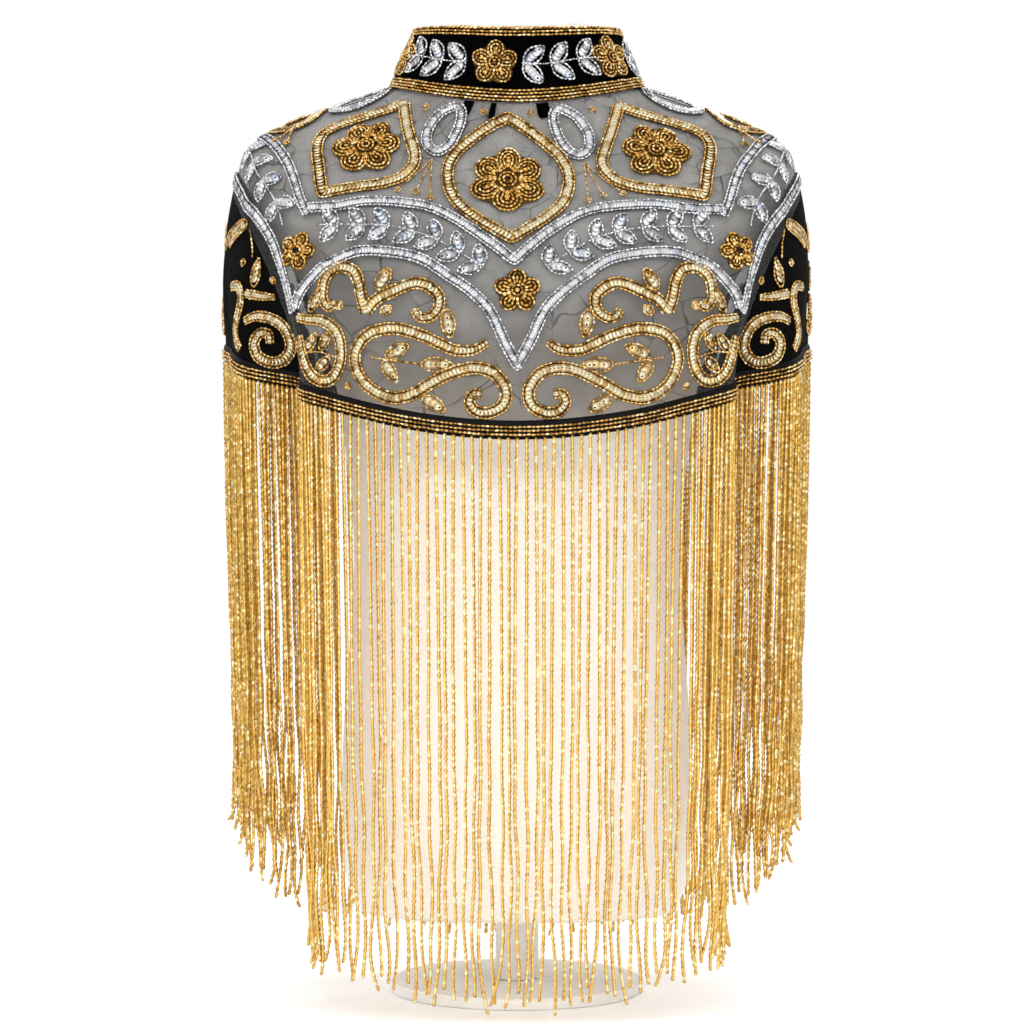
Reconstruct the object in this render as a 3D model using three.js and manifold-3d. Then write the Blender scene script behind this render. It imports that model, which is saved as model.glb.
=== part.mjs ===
// A sheer capelet with a velvet stand collar, raised bead-and-sequin ribbons and a long bead fringe, worn by a
// smooth dress form without limbs that stands on a post and a round base.
// Millimetres, +Z up, -Y is the front. The origin is the centre of the base's underside.
import * as THREE from "three";
import { mergeVertices } from "three/addons/utils/BufferGeometryUtils.js";
import Module from "manifold-3d";

const wasm = await Module();
wasm.setup();

// Driving dimensions
const CLOTH = 1.2; // thickness of the beaded net
const VELVET = 2.0; // thickness of the interlined collar
const SEAM_GAP = 0.3; // between pieces that meet at a seam
const FORM_GAP = 0.45; // between the cloth and the shoulders that carry it
const CUT_LENGTH = 255; // from the neck seam to the hem, along the cloth
const PER_DEGREE = 2.5; // across the cloth for each degree of turn, on average
const SQUARENESS = 2.4; // power of a ring: 2 is an ellipse, more is squarer
const FOLD = { turn: 50, width: 5.5, depth: 25, from: 0.6 }; // the four deep folds beside the arms
const FLUTES = [30, 76, 104, 150]; // shallow ones, degrees from the centre front
const FLUTE = { width: 8, depth: 5, from: 0.7 };
const GUSSET = { tip: 0.513, angle: 40, reach: 0.055 }; // black side panel: its tip, and how fast it widens
const SLIT = { length: 112, width: 1.2 }; // opening at the centre back, below the collar
const SLID = { turn: 4.2, until: 150 }; // the motifs sit towards -X: degrees at the neck, none from here down
const HEM_BAND = { height: 12, thick: 1.6 };
const COLLAR_BEADS = 1.7;
const RIBBON = { width: 8.4, thick: 1.5, lift: 0.8, step: 15 }; // bead-and-sequin ribbon
const FLOWER = { thick: 2.2, lift: 0.9 };
const STRAND = { radius: 1.5, pitch: 7, mostWaver: 3, centre: 371, side: 318, sideJoint: 352, lean: 0.045 };
const FRINGE_STRIP = { drop: 0.5, height: 4, out: 2, in: 1.2 };
const STAND = { postRadius: 15, baseRadius: 88, baseHeight: 8, bevel: 2, formFoot: 58 };
const BUTTON = { radius: 5, thick: 3, drops: [13, 30] };

const named = (columns, rows) => rows.map((r) => Object.fromEntries(columns.map((c, i) => [c, r[i]])));

// One row for each ring of the cloth, from the neck seam (share 0) to the hem (share 1).
const RING = ["share", "halfWidth", "sideHeight", "frontDepth", "frontHeight", "backDepth", "backHeight"];
const CAPE = named(RING, [
  [0.0, 88, 629, 66, 611, 58, 641],
  [0.12, 119, 619, 75, 584, 70, 613],
  [0.25, 150, 608, 89, 555, 84, 583],
  [0.37, 180, 594, 104, 529, 95, 554],
  [0.41, 188, 587.5, 109, 520, 98, 544],
  [0.47, 194, 573, 115, 506, 101, 529],
  [0.55, 199, 552, 122, 488, 104, 509],
  [0.63, 202, 531, 127, 469, 105, 489],
  [0.83, 204, 480, 131, 422, 105, 441],
  [1.0, 204, 440, 132, 383, 104, 399],
]);
// From the collar's top edge (share 0) to its seam with the neck of the cloth.
const COLLAR = named(RING, [
  [0.0, 71, 670, 56, 664, 54, 688],
  [0.5, 80, 650, 61.5, 638, 56.5, 665],
  [1.0, 88, 629.8, 66, 611.8, 58, 641.8],
]);
// The form's neck, from its flat top to the shoulders, and the form below the cloth's shoulder line.
const NECK = named(RING, [
  [0.0, 50.5, 674, 43, 674, 42, 674],
  [0.1, 53.5, 671, 46, 671, 45, 671],
  [0.4, 56, 658, 47.5, 647, 46.5, 662],
  [0.7, 65, 641, 51.5, 625, 48.5, 652],
  [1.0, 79, 629.5, 58, 611, 51, 640],
]);
const TORSO = named(RING, [
  [0.0, 188.5, 573, 112.4, 506, 98.4, 529],
  [0.07, 186, 557, 118, 492, 100.5, 513],
  [0.14, 177, 535, 122, 477, 101, 497],
  [0.22, 160, 509, 121, 461, 99, 477],
  [0.3, 143, 479, 115, 443, 95, 455],
  [0.38, 131, 445, 104, 425, 90, 429],
  [0.5, 122, 395, 93, 390, 85, 390],
  [0.64, 114, 315, 88, 315, 83, 315],
  [0.78, 117, 240, 92, 240, 88, 240],
  [0.9, 122, 160, 96, 160, 93, 160],
  [0.97, 120, 85, 93, 85, 91, 85],
  [1.0, 110, 58, 84, 58, 82, 58],
]);

const radians = (degrees) => (degrees * Math.PI) / 180;
const clamp01 = (t) => Math.min(1, Math.max(0, t));
const smooth = (t) => clamp01(t) ** 2 * (3 - 2 * clamp01(t));

// A column of a ring table at a share, on a cubic through its rows.
function column(table, name, share) {
  let i = 1;
  while (i < table.length - 1 && table[i].share < share) i++;
  const slope = (k) => {
    const [a, b] = [table[Math.max(k - 1, 0)], table[Math.min(k + 1, table.length - 1)]];
    return (b[name] - a[name]) / (b.share - a.share);
  };
  const [low, high] = [table[i - 1], table[i]];
  const span = high.share - low.share;
  const t = (share - low.share) / span;
  const [t2, t3] = [t * t, t * t * t];
  return (
    (2 * t3 - 3 * t2 + 1) * low[name] +
    (t3 - 2 * t2 + t) * span * slope(i - 1) +
    (3 * t2 - 2 * t3) * high[name] +
    (t3 - t2) * span * slope(i)
  );
}

// The point of a ring at a turn in degrees: 0 is the centre front, 90 the +X side, 180 the centre back.
function ringPoint(table, turn, share) {
  const [s, c] = [Math.sin(radians(turn)), Math.cos(radians(turn))];
  const reach = (Math.abs(s) ** SQUARENESS + Math.abs(c) ** SQUARENESS) ** (-1 / SQUARENESS);
  const side = c >= 0 ? "front" : "back";
  const x = column(table, "halfWidth", share) * s * reach;
  const y = -column(table, side + "Depth", share) * c * reach;
  const z = column(table, "sideHeight", share) * s * s + column(table, side + "Height", share) * c * c;
  return new THREE.Vector3(x, y, z);
}

// How far the cloth is drawn in towards the vertical axis: deep folds beside the arms, shallow flutes elsewhere.
function drawnIn(turn, share) {
  const fromFront = Math.abs(((turn + 540) % 360) - 180);
  const dips = (turns, width) => turns.reduce((sum, at) => sum + Math.exp(-(((fromFront - at) / width) ** 2)), 0);
  const grown = (from) => smooth((share - from) / (1 - from));
  return (
    FOLD.depth * dips([FOLD.turn, 180 - FOLD.turn], FOLD.width) * grown(FOLD.from) +
    FLUTE.depth * dips(FLUTES, FLUTE.width) * grown(FLUTE.from)
  );
}

function capePoint(turn, share) {
  const p = ringPoint(CAPE, turn, share);
  const reach = Math.hypot(p.x, p.y);
  const scale = 1 - drawnIn(turn, share) / reach;
  return p.set(p.x * scale, p.y * scale, p.z);
}

const collarPoint = (turn, share) => ringPoint(COLLAR, turn, share);

// The outward normal of a surface of turn and share, from differences.
function normalOf(surface, turn, share) {
  const [dTurn, dShare] = [0.4, 0.004];
  const [low, high] = [Math.max(share - dShare, 0), Math.min(share + dShare, 1)];
  const along = surface(turn + dTurn, share).sub(surface(turn - dTurn, share));
  const down = surface(turn, high).sub(surface(turn, low));
  return down.cross(along).normalize();
}

// A surface moved out along its normals.
const movedOut = (surface, out) => (turn, share) =>
  surface(turn, share).addScaledVector(normalOf(surface, turn, share), out);

// The edge of the front panel: the shoulder seam above the gusset's tip, and the gusset's side below it.
function panelEdge(share) {
  if (share <= GUSSET.tip) return 90;
  return 90 - GUSSET.angle * (1 - Math.exp(-(share - GUSSET.tip) / GUSSET.reach));
}

function meshGeometry(points, triangles) {
  const g = new THREE.BufferGeometry();
  g.setAttribute("position", new THREE.Float32BufferAttribute(points.flatMap((p) => [p.x, p.y, p.z]), 3));
  g.setIndex(triangles.flat());
  return g;
}

// A wall between two grids of points of the same size, closed along its four edges. Each is grid[row][place].
// Rows run down and places run towards increasing turn, so the outer grid's faces point out.
function wall(outer, inner, closed = false) {
  const [rows, places] = [outer.length, outer[0].length];
  const points = [...outer.flat(), ...inner.flat()];
  const at = (layer, r, p) => layer * rows * places + r * places + (p % places);
  const quad = (a, b, c, d) => [
    [a, b, c],
    [a, c, d],
  ];
  const faces = [];
  const lastPlace = closed ? places : places - 1;
  for (let r = 0; r < rows - 1; r++)
    for (let p = 0; p < lastPlace; p++) {
      faces.push(...quad(at(0, r, p), at(0, r + 1, p), at(0, r + 1, p + 1), at(0, r, p + 1)));
      faces.push(...quad(at(1, r, p), at(1, r, p + 1), at(1, r + 1, p + 1), at(1, r + 1, p)));
    }
  for (let p = 0; p < lastPlace; p++) {
    faces.push(...quad(at(0, 0, p), at(0, 0, p + 1), at(1, 0, p + 1), at(1, 0, p)));
    faces.push(...quad(at(0, rows - 1, p), at(1, rows - 1, p), at(1, rows - 1, p + 1), at(0, rows - 1, p + 1)));
  }
  if (!closed)
    for (let r = 0; r < rows - 1; r++) {
      const e = places - 1;
      faces.push(...quad(at(1, r, 0), at(1, r + 1, 0), at(0, r + 1, 0), at(0, r, 0)));
      faces.push(...quad(at(0, r, e), at(0, r + 1, e), at(1, r + 1, e), at(1, r, e)));
    }
  return meshGeometry(points, faces);
}

// A wall on a surface: shares down it, and turns from turnsAt(share), between two distances out from it.
function wallOn(surface, shares, turnsAt, innerOut, outerOut) {
  const grid = (out) => shares.map((v) => turnsAt(v).map((t) => movedOut(surface, out)(t, v)));
  return wall(grid(outerOut), grid(innerOut));
}

// Turns from one edge to the other, closer together at the edges, where the folds are.
const towardsEdges = (from, to, cells) =>
  Array.from({ length: cells + 1 }, (_, i) => {
    const t = Math.sin((Math.PI / 2) * ((2 * i) / cells - 1));
    return (from + to) / 2 + (t * (to - from)) / 2;
  });

const middle = (ring) => ring.reduce((sum, p) => sum.add(p), new THREE.Vector3()).divideScalar(ring.length);

// A closed body through rings, each an array of points, with a fan of faces to one more point at each end.
function loft(rings, start = middle(rings[0]), end = middle(rings.at(-1))) {
  const count = rings[0].length;
  const points = [...rings.flat(), start, end];
  const faces = [];
  for (let r = 0; r < rings.length - 1; r++)
    for (let i = 0; i < count; i++) {
      const [a, b] = [r * count + i, r * count + ((i + 1) % count)];
      faces.push([a, a + count, b + count], [a, b + count, b]);
    }
  const [first, last] = [rings.length * count, rings.length * count + 1];
  const lastRing = (rings.length - 1) * count;
  for (let i = 0; i < count; i++) {
    const j = (i + 1) % count;
    faces.push([first, i, j], [last, lastRing + j, lastRing + i]);
  }
  return meshGeometry(points, faces);
}

function toManifold(geometry) {
  const g = geometry.index ? geometry.toNonIndexed() : geometry.clone();
  g.deleteAttribute("normal");
  g.deleteAttribute("uv");
  const merged = mergeVertices(g, 1e-3);
  return new wasm.Manifold(
    new wasm.Mesh({
      numProp: 3,
      vertProperties: merged.attributes.position.array,
      triVerts: new Uint32Array(merged.index.array),
    }),
  );
}

function toGeometry(solid) {
  const { numProp, vertProperties, triVerts } = solid.getMesh();
  const g = new THREE.BufferGeometry();
  g.setAttribute("position", new THREE.BufferAttribute(new Float32Array(vertProperties), numProp));
  g.setIndex(new THREE.BufferAttribute(new Uint32Array(triVerts), 1));
  return g;
}

// Finishes, one material for each
const finish = (color, roughness, metalness = 0, opacity = 1) =>
  new THREE.MeshStandardMaterial({ color, roughness, metalness, opacity, transparent: opacity < 1 });
const NET = finish(0x1a1a1a, 0.8, 0, 0.6);
const BLACK_NET = finish(0x0c0b0a, 0.8);
const BLACK_VELVET = finish(0x080808, 0.95);
const BLACK_SATIN = finish(0x0d0c0b, 0.5);
const GOLD_BEADS = finish(0xc08a35, 0.3, 0.9);
const GOLD_SEQUINS = finish(0xe6cf8a, 0.25, 0.9);
const SILVER_SEQUINS = finish(0xc9cbd0, 0.25, 0.9);
const GOLD_FRINGE = finish(0xd9a94e, 0.3, 0.8);
const FORM_WHITE = finish(0xf1eee8, 0.6);
const STAND_WHITE = finish(0xeceae6, 0.4);

const group = new THREE.Group();
function add(name, geometry, material) {
  const mesh = new THREE.Mesh(geometry, material);
  mesh.name = name;
  group.add(mesh);
}

// The dress form: neck, shoulders that follow the cloth at the cloth's own turns, torso
function dressForm() {
  const half = towardsEdges(-90, 90, PANEL_CELLS).slice(0, -1);
  const turns = [...half, ...half.map((t) => t + 180)];
  const inside = movedOut(capePoint, -(CLOTH + FORM_GAP));
  const ring = (point) => turns.map(point);
  const neck = NECK.map((row) => ring((t) => ringPoint(NECK, t, row.share)));
  const shoulders = [0, 0.07, 0.14, 0.21, 0.28, 0.34, 0.39, 0.43].map((v) => ring((t) => inside(t, v)));
  const torso = TORSO.map((row) => ring((t) => ringPoint(TORSO, t, row.share)));
  return loft([...neck, ...shoulders, ...torso]);
}

function stand() {
  const { postRadius, baseRadius, baseHeight, bevel, formFoot } = STAND;
  const basePoints = [
    [0, 0],
    [baseRadius - bevel, 0],
    [baseRadius, bevel],
    [baseRadius, baseHeight - bevel],
    [baseRadius - bevel, baseHeight],
    [0, baseHeight],
  ].map(([r, z]) => new THREE.Vector2(r, z));
  const base = new THREE.LatheGeometry(basePoints, 40).rotateX(Math.PI / 2);
  const postHeight = formFoot - baseHeight - 2 * SEAM_GAP;
  const post = new THREE.CylinderGeometry(postRadius, postRadius, postHeight, 24).rotateX(Math.PI / 2);
  post.translate(0, 0, baseHeight + SEAM_GAP + postHeight / 2);
  add("stand_base", base, STAND_WHITE);
  add("stand_post", post, STAND_WHITE);
}

// Degrees left out on each side of a seam, more where the seam lies across the cloth than where it is upright
function seamTurn(share) {
  if (share <= GUSSET.tip) return SEAM_TURN;
  const steepness = (GUSSET.angle / GUSSET.reach) * Math.exp(-(share - GUSSET.tip) / GUSSET.reach);
  return SEAM_TURN * Math.hypot(1, (steepness * PER_DEGREE) / CUT_LENGTH);
}

// Cloth panels
const PANEL_CELLS = 24;
const GUSSET_CELLS = 12;
const HEM_SHARE = 1 - HEM_BAND.height / CUT_LENGTH;
const GUSSET_SHARES = [0.514, 0.53, 0.555, 0.6, 0.67, 0.76, 0.86, HEM_SHARE, 1];
const PANEL_SHARES = [0, 0.07, 0.14, 0.21, 0.28, 0.34, 0.39, 0.43, 0.472, 0.512, ...GUSSET_SHARES];
const SEAM_TURN = 0.08; // degrees left out on each side of an upright seam

const frontTurns = (cells) => (v) => towardsEdges(seamTurn(v) - panelEdge(v), panelEdge(v) - seamTurn(v), cells);
const backTurns = (cells) => (v) => frontTurns(cells)(v).map((t) => t + 180);
const sideTurns = (cells, centre) => (v) => {
  const reach = 90 - panelEdge(v) - seamTurn(v);
  return towardsEdges(centre - reach, centre + reach, cells);
};
const SECTORS = [
  { name: "front", turnsAt: frontTurns(PANEL_CELLS), shares: PANEL_SHARES, material: NET },
  { name: "back", turnsAt: backTurns(PANEL_CELLS), shares: PANEL_SHARES, material: NET },
  { name: "right_side", turnsAt: sideTurns(GUSSET_CELLS, 90), shares: GUSSET_SHARES, material: BLACK_NET },
  { name: "left_side", turnsAt: sideTurns(GUSSET_CELLS, 270), shares: GUSSET_SHARES, material: BLACK_NET },
];

function slitBlade() {
  const from = column(CAPE, "backHeight", 0);
  const blade = new THREE.BoxGeometry(SLIT.width, 120, SLIT.length + 20);
  return toManifold(blade.translate(0, 100, from + 20 - (SLIT.length + 20) / 2));
}

function panels() {
  for (const { name, turnsAt, shares, material } of SECTORS) {
    let geometry = wallOn(capePoint, shares, turnsAt, -CLOTH, 0);
    if (name === "back") geometry = toGeometry(toManifold(geometry).subtract(slitBlade()));
    add(name + "_panel", geometry, material);
  }
}

// The binding and its rows of beads, over the lowest part of each panel
function hems() {
  for (const { name, turnsAt } of SECTORS)
    add(name + "_hem", wallOn(capePoint, [HEM_SHARE, 1], turnsAt, SEAM_GAP, SEAM_GAP + HEM_BAND.thick), BLACK_SATIN);
}

// Collar, open at the centre back, with its bead edges and two buttons over the opening
function collar() {
  const opening = 0.7; // degrees each side of the centre back
  const cells = 40;
  const turns = Array.from({ length: cells + 1 }, (_, i) => -180 + opening + (i * (360 - 2 * opening)) / cells);
  const band = (shares, inner, outer) => wallOn(collarPoint, shares, () => turns, inner, outer);
  const beadsOut = [SEAM_GAP, SEAM_GAP + COLLAR_BEADS];
  add("collar", band([0, 0.12, 0.5, 0.81, 1], -VELVET, 0), BLACK_VELVET);
  add("collar_top_beads", band([0, 0.12], ...beadsOut), GOLD_BEADS);
  add("collar_base_beads", band([0.81, 1], ...beadsOut), GOLD_BEADS);
  BUTTON.drops.forEach((drop, i) => {
    const share = drop / 47;
    const seat = movedOut(collarPoint, 2 * SEAM_GAP)(180, share);
    const button = new THREE.CylinderGeometry(BUTTON.radius * 0.7, BUTTON.radius, BUTTON.thick, 16);
    button.translate(0, BUTTON.thick / 2, 0);
    const up = new THREE.Vector3(0, 1, 0);
    button.applyQuaternion(new THREE.Quaternion().setFromUnitVectors(up, normalOf(collarPoint, 180, share)));
    add("collar_button_" + (i + 1), button.translate(...seat), GOLD_BEADS);
  });
}

// Straight pieces through a line of points, as one path
function chain(points) {
  const line = new THREE.CurvePath();
  points.slice(1).forEach((p, i) => line.add(new THREE.LineCurve3(points[i], p)));
  return line;
}

// The turn of a place on the worn cloth, which has slid a little towards -X at the neck
function slid(turn, down) {
  return turn - SLID.turn * Math.cos(radians(turn)) * clamp01(1 - down / SLID.until);
}

// Points a step apart along a line of points
function evenly(points, step, closed) {
  const line = chain(closed ? [...points, points[0]] : points);
  const count = Math.max(6, Math.round(line.getLength() / step));
  const even = Array.from({ length: count + 1 }, (_, i) => line.getPoint(i / count));
  return closed ? even.slice(0, -1) : even;
}

// A raised ribbon along a line of places on the cloth, each a turn and a number of millimetres down from the neck
function ribbon(places, closed) {
  const seats = evenly(places, RIBBON.step, closed).map(({ x, y }) => {
    const [turn, share] = [slid(x / PER_DEGREE, y), y / CUT_LENGTH];
    return { point: capePoint(turn, share), normal: normalOf(capePoint, turn, share) };
  });
  const n = seats.length;
  const direction = (a, b) => b.point.clone().sub(a.point).normalize();
  const sections = seats.map((seat, i) => {
    const before = closed || i > 0 ? seats[(i + n - 1) % n] : null;
    const after = closed || i < n - 1 ? seats[(i + 1) % n] : null;
    const leaving = after ? direction(seat, after) : direction(before, seat);
    const arriving = before ? direction(before, seat) : leaving;
    const along = arriving.clone().add(leaving).normalize();
    const miter = Math.min(1.6, 1 / Math.max(0.3, along.dot(leaving)));
    const across = seat.normal.clone().cross(along).normalize();
    const corner = (side, out) =>
      seat.point
        .clone()
        .addScaledVector(across, (side * miter * RIBBON.width) / 2)
        .addScaledVector(seat.normal, out);
    const [low, high] = [RIBBON.lift, RIBBON.lift + RIBBON.thick];
    return [corner(-1, low), corner(1, low), corner(0.8, high), corner(-0.8, high)];
  });
  const faces = [];
  const last = closed ? n : n - 1;
  for (let i = 0; i < last; i++)
    for (let k = 0; k < 4; k++) {
      const [a, b] = [4 * i + k, 4 * i + ((k + 1) % 4)];
      const [c, d] = [4 * ((i + 1) % n) + ((k + 1) % 4), 4 * ((i + 1) % n) + k];
      faces.push([a, b, c], [a, c, d]);
    }
  if (!closed) {
    const e = 4 * (n - 1);
    faces.push([0, 2, 1], [0, 3, 2], [e, e + 1, e + 2], [e, e + 2, e + 3]);
  }
  return meshGeometry(sections.flat(), faces);
}

// The turn and share that lie some millimetres across and down the cloth from a place
function beside(turn, share, across, down) {
  const [dTurn, dShare] = [0.4, 0.004];
  const seat = capePoint(turn, share);
  const alongTurn = capePoint(turn + dTurn, share).sub(seat).divideScalar(dTurn);
  const alongShare = capePoint(turn, share + dShare).sub(seat).divideScalar(dShare);
  const u = alongTurn.clone().normalize();
  const w = u.clone().cross(normalOf(capePoint, turn, share));
  const shares = down / alongShare.dot(w);
  return [turn + (across - shares * alongShare.dot(u)) / alongTurn.length(), share + shares];
}

// A beaded flower: a low dome on the cloth, with petals round its edge
function flower(sewnTurn, down, radius, petals) {
  const seat = [slid(sewnTurn, down), down / CUT_LENGTH];
  const petal = [1, 0.95, 0.7, 0.95]; // reach at a petal's tip, shoulder, notch and shoulder
  const outline = Array.from({ length: petals * petal.length }, (_, i) => {
    const angle = (i / (petals * petal.length)) * 2 * Math.PI;
    const reach = radius * petal[i % petal.length];
    return [-reach * Math.sin(angle), -reach * Math.cos(angle)];
  });
  const ring = (scale, out) => outline.map(([a, b]) => movedOut(capePoint, out)(...beside(...seat, a * scale, b * scale)));
  const { lift, thick } = FLOWER;
  const rings = [ring(0.8, lift + thick), ring(1, lift + thick * 0.55), ring(1, lift)];
  return loft(rings, movedOut(capePoint, lift + thick)(...seat), movedOut(capePoint, lift)(...seat));
}

// Motifs of the +X front quarter, as [turn in degrees, millimetres down from the neck seam].
// Each run of a motif is a smooth line, and two runs meet at a corner.
const ARCHES = {
  upper_arch: [[[0, 127], [3.5, 116], [8, 105], [13.5, 96], [18.5, 93], [25, 96], [30.5, 102], [35.5, 111], [38, 115]]],
  lower_arch: [[[0, 203], [2.5, 185], [5, 165], [8.5, 152], [13, 142], [18, 133], [24, 133], [30, 138], [34, 147],
    [37, 155], [40, 168]]],
};
const FRAMES = {
  frame: [[[42.5, 13], [34, 30], [25.5, 54], [25, 70], [28, 82], [33, 92], [39.5, 106]], [[39.5, 106], [44.5, 90],
    [53.5, 70], [55, 57], [51, 37], [42.5, 13]]],
};
const SCROLLS = {
  paisley: [[[5.5, 188], [9.5, 195], [14, 195], [18, 186], [22.5, 186], [27, 195], [30, 211], [30, 227], [26, 234],
    [21, 231], [17.5, 222], [13.5, 210], [8, 204], [4, 208], [2, 219], [2.6, 231], [5.5, 236]]],
};
const SHOULDER_LINES = {
  inner_line: [[[42.2, 124], [44.6, 115.5], [48.1, 104.8], [52.9, 97], [60.8, 91], [69.4, 90], [80, 91], [90, 92]]],
  outer_line: [
    [[43.8, 194], [44.6, 186], [45.7, 176], [47.4, 164], [49.8, 153], [53.8, 144], [60.2, 136.3], [69.3, 130.6],
      [80, 126.5], [90, 125]],
  ],
};
const CENTRE_FRAME = [[[0, 12], [6, 20], [11, 31], [15, 46], [15.5, 63], [12.5, 82], [8, 94], [3.5, 103], [0, 110]]];
const FLOWERS = { side: [39.5, 59, 23, 6], centre: [0, 63, 25, 6], small: [0, 150, 15, 5] };

// The points of a motif's runs, with the turn changed by a function
function places(runs, turned) {
  const points = runs.flatMap((run) => {
    const spline = new THREE.SplineCurve(run.map(([turn, down]) => new THREE.Vector2(turn * PER_DEGREE, down)));
    return spline.getPoints(run.length * 4);
  });
  return points
    .filter((p, i) => i === 0 || p.distanceTo(points[i - 1]) > 0.5)
    .map((p) => new THREE.Vector3(turned(p.x / PER_DEGREE) * PER_DEGREE, p.y, 0));
}

// Two mirrored halves of a motif as one line, from the end of one to the end of the other
const joined = (half, otherHalf) => [...half.reverse(), ...otherHalf.slice(1)];

const QUARTERS = [
  { name: "front_right", turned: (turn) => turn },
  { name: "front_left", turned: (turn) => -turn },
  { name: "back_right", turned: (turn) => 180 - turn },
  { name: "back_left", turned: (turn) => 180 + turn },
];

function motifs() {
  for (const { name, turned } of QUARTERS) {
    add(name + "_frame", ribbon(places(FRAMES.frame, turned).slice(0, -1), true), GOLD_SEQUINS);
    add(name + "_paisley", ribbon(places(SCROLLS.paisley, turned), false), GOLD_SEQUINS);
    const [turn, ...rest] = FLOWERS.side;
    add(name + "_flower", flower(turned(turn), ...rest), GOLD_BEADS);
  }
  for (const [side, right, left] of [["front", ...QUARTERS.slice(0, 2)], ["back", ...QUARTERS.slice(2)]]) {
    for (const [name, runs] of Object.entries(ARCHES)) {
      const line = joined(places(runs, right.turned), places(runs, left.turned));
      add(side + "_" + name, ribbon(line, false), SILVER_SEQUINS);
    }
    const [turn, ...rest] = FLOWERS.small;
    add(side + "_small_flower", flower(right.turned(turn), ...rest), GOLD_BEADS);
  }
  for (const [hand, sign] of [["right", 1], ["left", -1]])
    for (const [name, runs] of Object.entries(SHOULDER_LINES)) {
      const [front, back] = [(turn) => sign * turn, (turn) => sign * (180 - turn)].map((f) => places(runs, f));
      add(hand + "_shoulder_" + name, ribbon([...front, ...back.reverse().slice(1)], false), SILVER_SEQUINS);
    }
  const [right, left] = QUARTERS.slice(0, 2).map(({ turned }) => places(CENTRE_FRAME, turned));
  add("front_centre_frame", ribbon([...right, ...left.reverse().slice(1, -1)], true), GOLD_SEQUINS);
  const [turn, ...rest] = FLOWERS.centre;
  add("front_centre_flower", flower(turn, ...rest), GOLD_BEADS);
}

// Fringe: three-sided strands whose roots are fused into a strip under the hem
function fringe() {
  const below = (turn, drop, out) => movedOut(capePoint, out)(turn, 1).sub(new THREE.Vector3(0, 0, drop));
  let made = 0;
  for (const { name, turnsAt } of SECTORS) {
    const turns = turnsAt(1);
    const { drop, height } = FRINGE_STRIP;
    const edge = (out) => [drop, drop + height].map((d) => turns.map((t) => below(t, d, out)));
    const solids = [toManifold(wall(edge(FRINGE_STRIP.out), edge(-FRINGE_STRIP.in)))];
    const middle = (FRINGE_STRIP.out - FRINGE_STRIP.in) / 2;
    const line = chain(turns.map((t) => below(t, height / 2, middle)));
    const count = Math.round(line.getLength() / STRAND.pitch);
    for (let i = 0; i < count; i++) {
      const root = line.getPoint((i + 0.5) / count);
      const fromMiddle = (2 * (i + 0.5)) / count - 1;
      const side = THREE.MathUtils.lerp(STRAND.side, STRAND.sideJoint, fromMiddle ** 2);
      const full = name.includes("side") ? side : STRAND.centre;
      const length = full + 5 * Math.sin(2.4 * made) + 3 * Math.sin(7.1 * made);
      const bow = [STRAND.mostWaver * Math.sin(1.7 * made), STRAND.mostWaver * Math.sin(2.9 * made)];
      const ring = (share, radius) =>
        [0, 1, 2].map((k) => {
          const angle = (k * 2 * Math.PI) / 3 + Math.PI / 2;
          return new THREE.Vector3(
            root.x * (1 - STRAND.lean * share) + bow[0] * share * (1 - share) * 2 + radius * Math.cos(angle),
            root.y + bow[1] * share * (1 - share) * 2 + radius * Math.sin(angle),
            root.z - length * share,
          );
        });
      solids.push(toManifold(loft([ring(0, STRAND.radius), ring(0.5, STRAND.radius), ring(1, STRAND.radius * 0.8)])));
      made++;
    }
    add(name + "_fringe", toGeometry(wasm.Manifold.union(solids)), GOLD_FRINGE);
  }
}

add("dress_form", dressForm(), FORM_WHITE);
stand();
panels();
hems();
collar();
motifs();
fringe();

export default group;
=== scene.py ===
"""A sheer beaded capelet, worn by a limbless dress form on a stand, dressed for rendering.

The worn cloth and the collar are surfaces of two parameters, a turn round the body in degrees, 0 at the
centre front and 90 at +X, and a share of the way down from the first ring to the last. All beadwork is laid
out in turns and millimetres down the cloth, and sewn along lines on these surfaces: each bead, sequin or
cut strand is a small shape stamped at a seat, which has a place, a direction along its line, one across it
and one out of the cloth. Lengths are in millimetres until a mesh is made, and in metres after that.
"""

from __future__ import annotations

import sys
import logging
from dataclasses import dataclass, field
from enum import Enum
from typing import Any

import bpy
import numpy as np
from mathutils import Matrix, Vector


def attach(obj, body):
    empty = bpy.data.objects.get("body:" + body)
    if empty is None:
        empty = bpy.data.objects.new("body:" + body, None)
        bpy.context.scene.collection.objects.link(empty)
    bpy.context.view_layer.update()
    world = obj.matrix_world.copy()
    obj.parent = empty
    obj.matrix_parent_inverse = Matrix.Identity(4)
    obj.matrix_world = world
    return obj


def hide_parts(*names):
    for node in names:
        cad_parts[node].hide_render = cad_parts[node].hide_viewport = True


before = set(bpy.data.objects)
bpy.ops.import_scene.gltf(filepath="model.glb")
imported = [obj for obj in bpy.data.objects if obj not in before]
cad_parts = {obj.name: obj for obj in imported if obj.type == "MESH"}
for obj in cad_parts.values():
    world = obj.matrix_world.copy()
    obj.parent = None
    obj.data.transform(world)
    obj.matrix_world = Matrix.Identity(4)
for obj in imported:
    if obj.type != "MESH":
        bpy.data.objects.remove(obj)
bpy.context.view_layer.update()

LOG = logging.getLogger("capelet")
Array = np.ndarray
Material = bpy.types.Material
Piece = bpy.types.Object
Socket = bpy.types.NodeSocket
Tree = bpy.types.NodeTree
Shade = tuple[int, int, int]  # a colour on screen, each part from 0 to 255
Run = tuple[tuple[float, float], ...]  # places of a smooth line: turn in degrees, millimetres down

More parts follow.
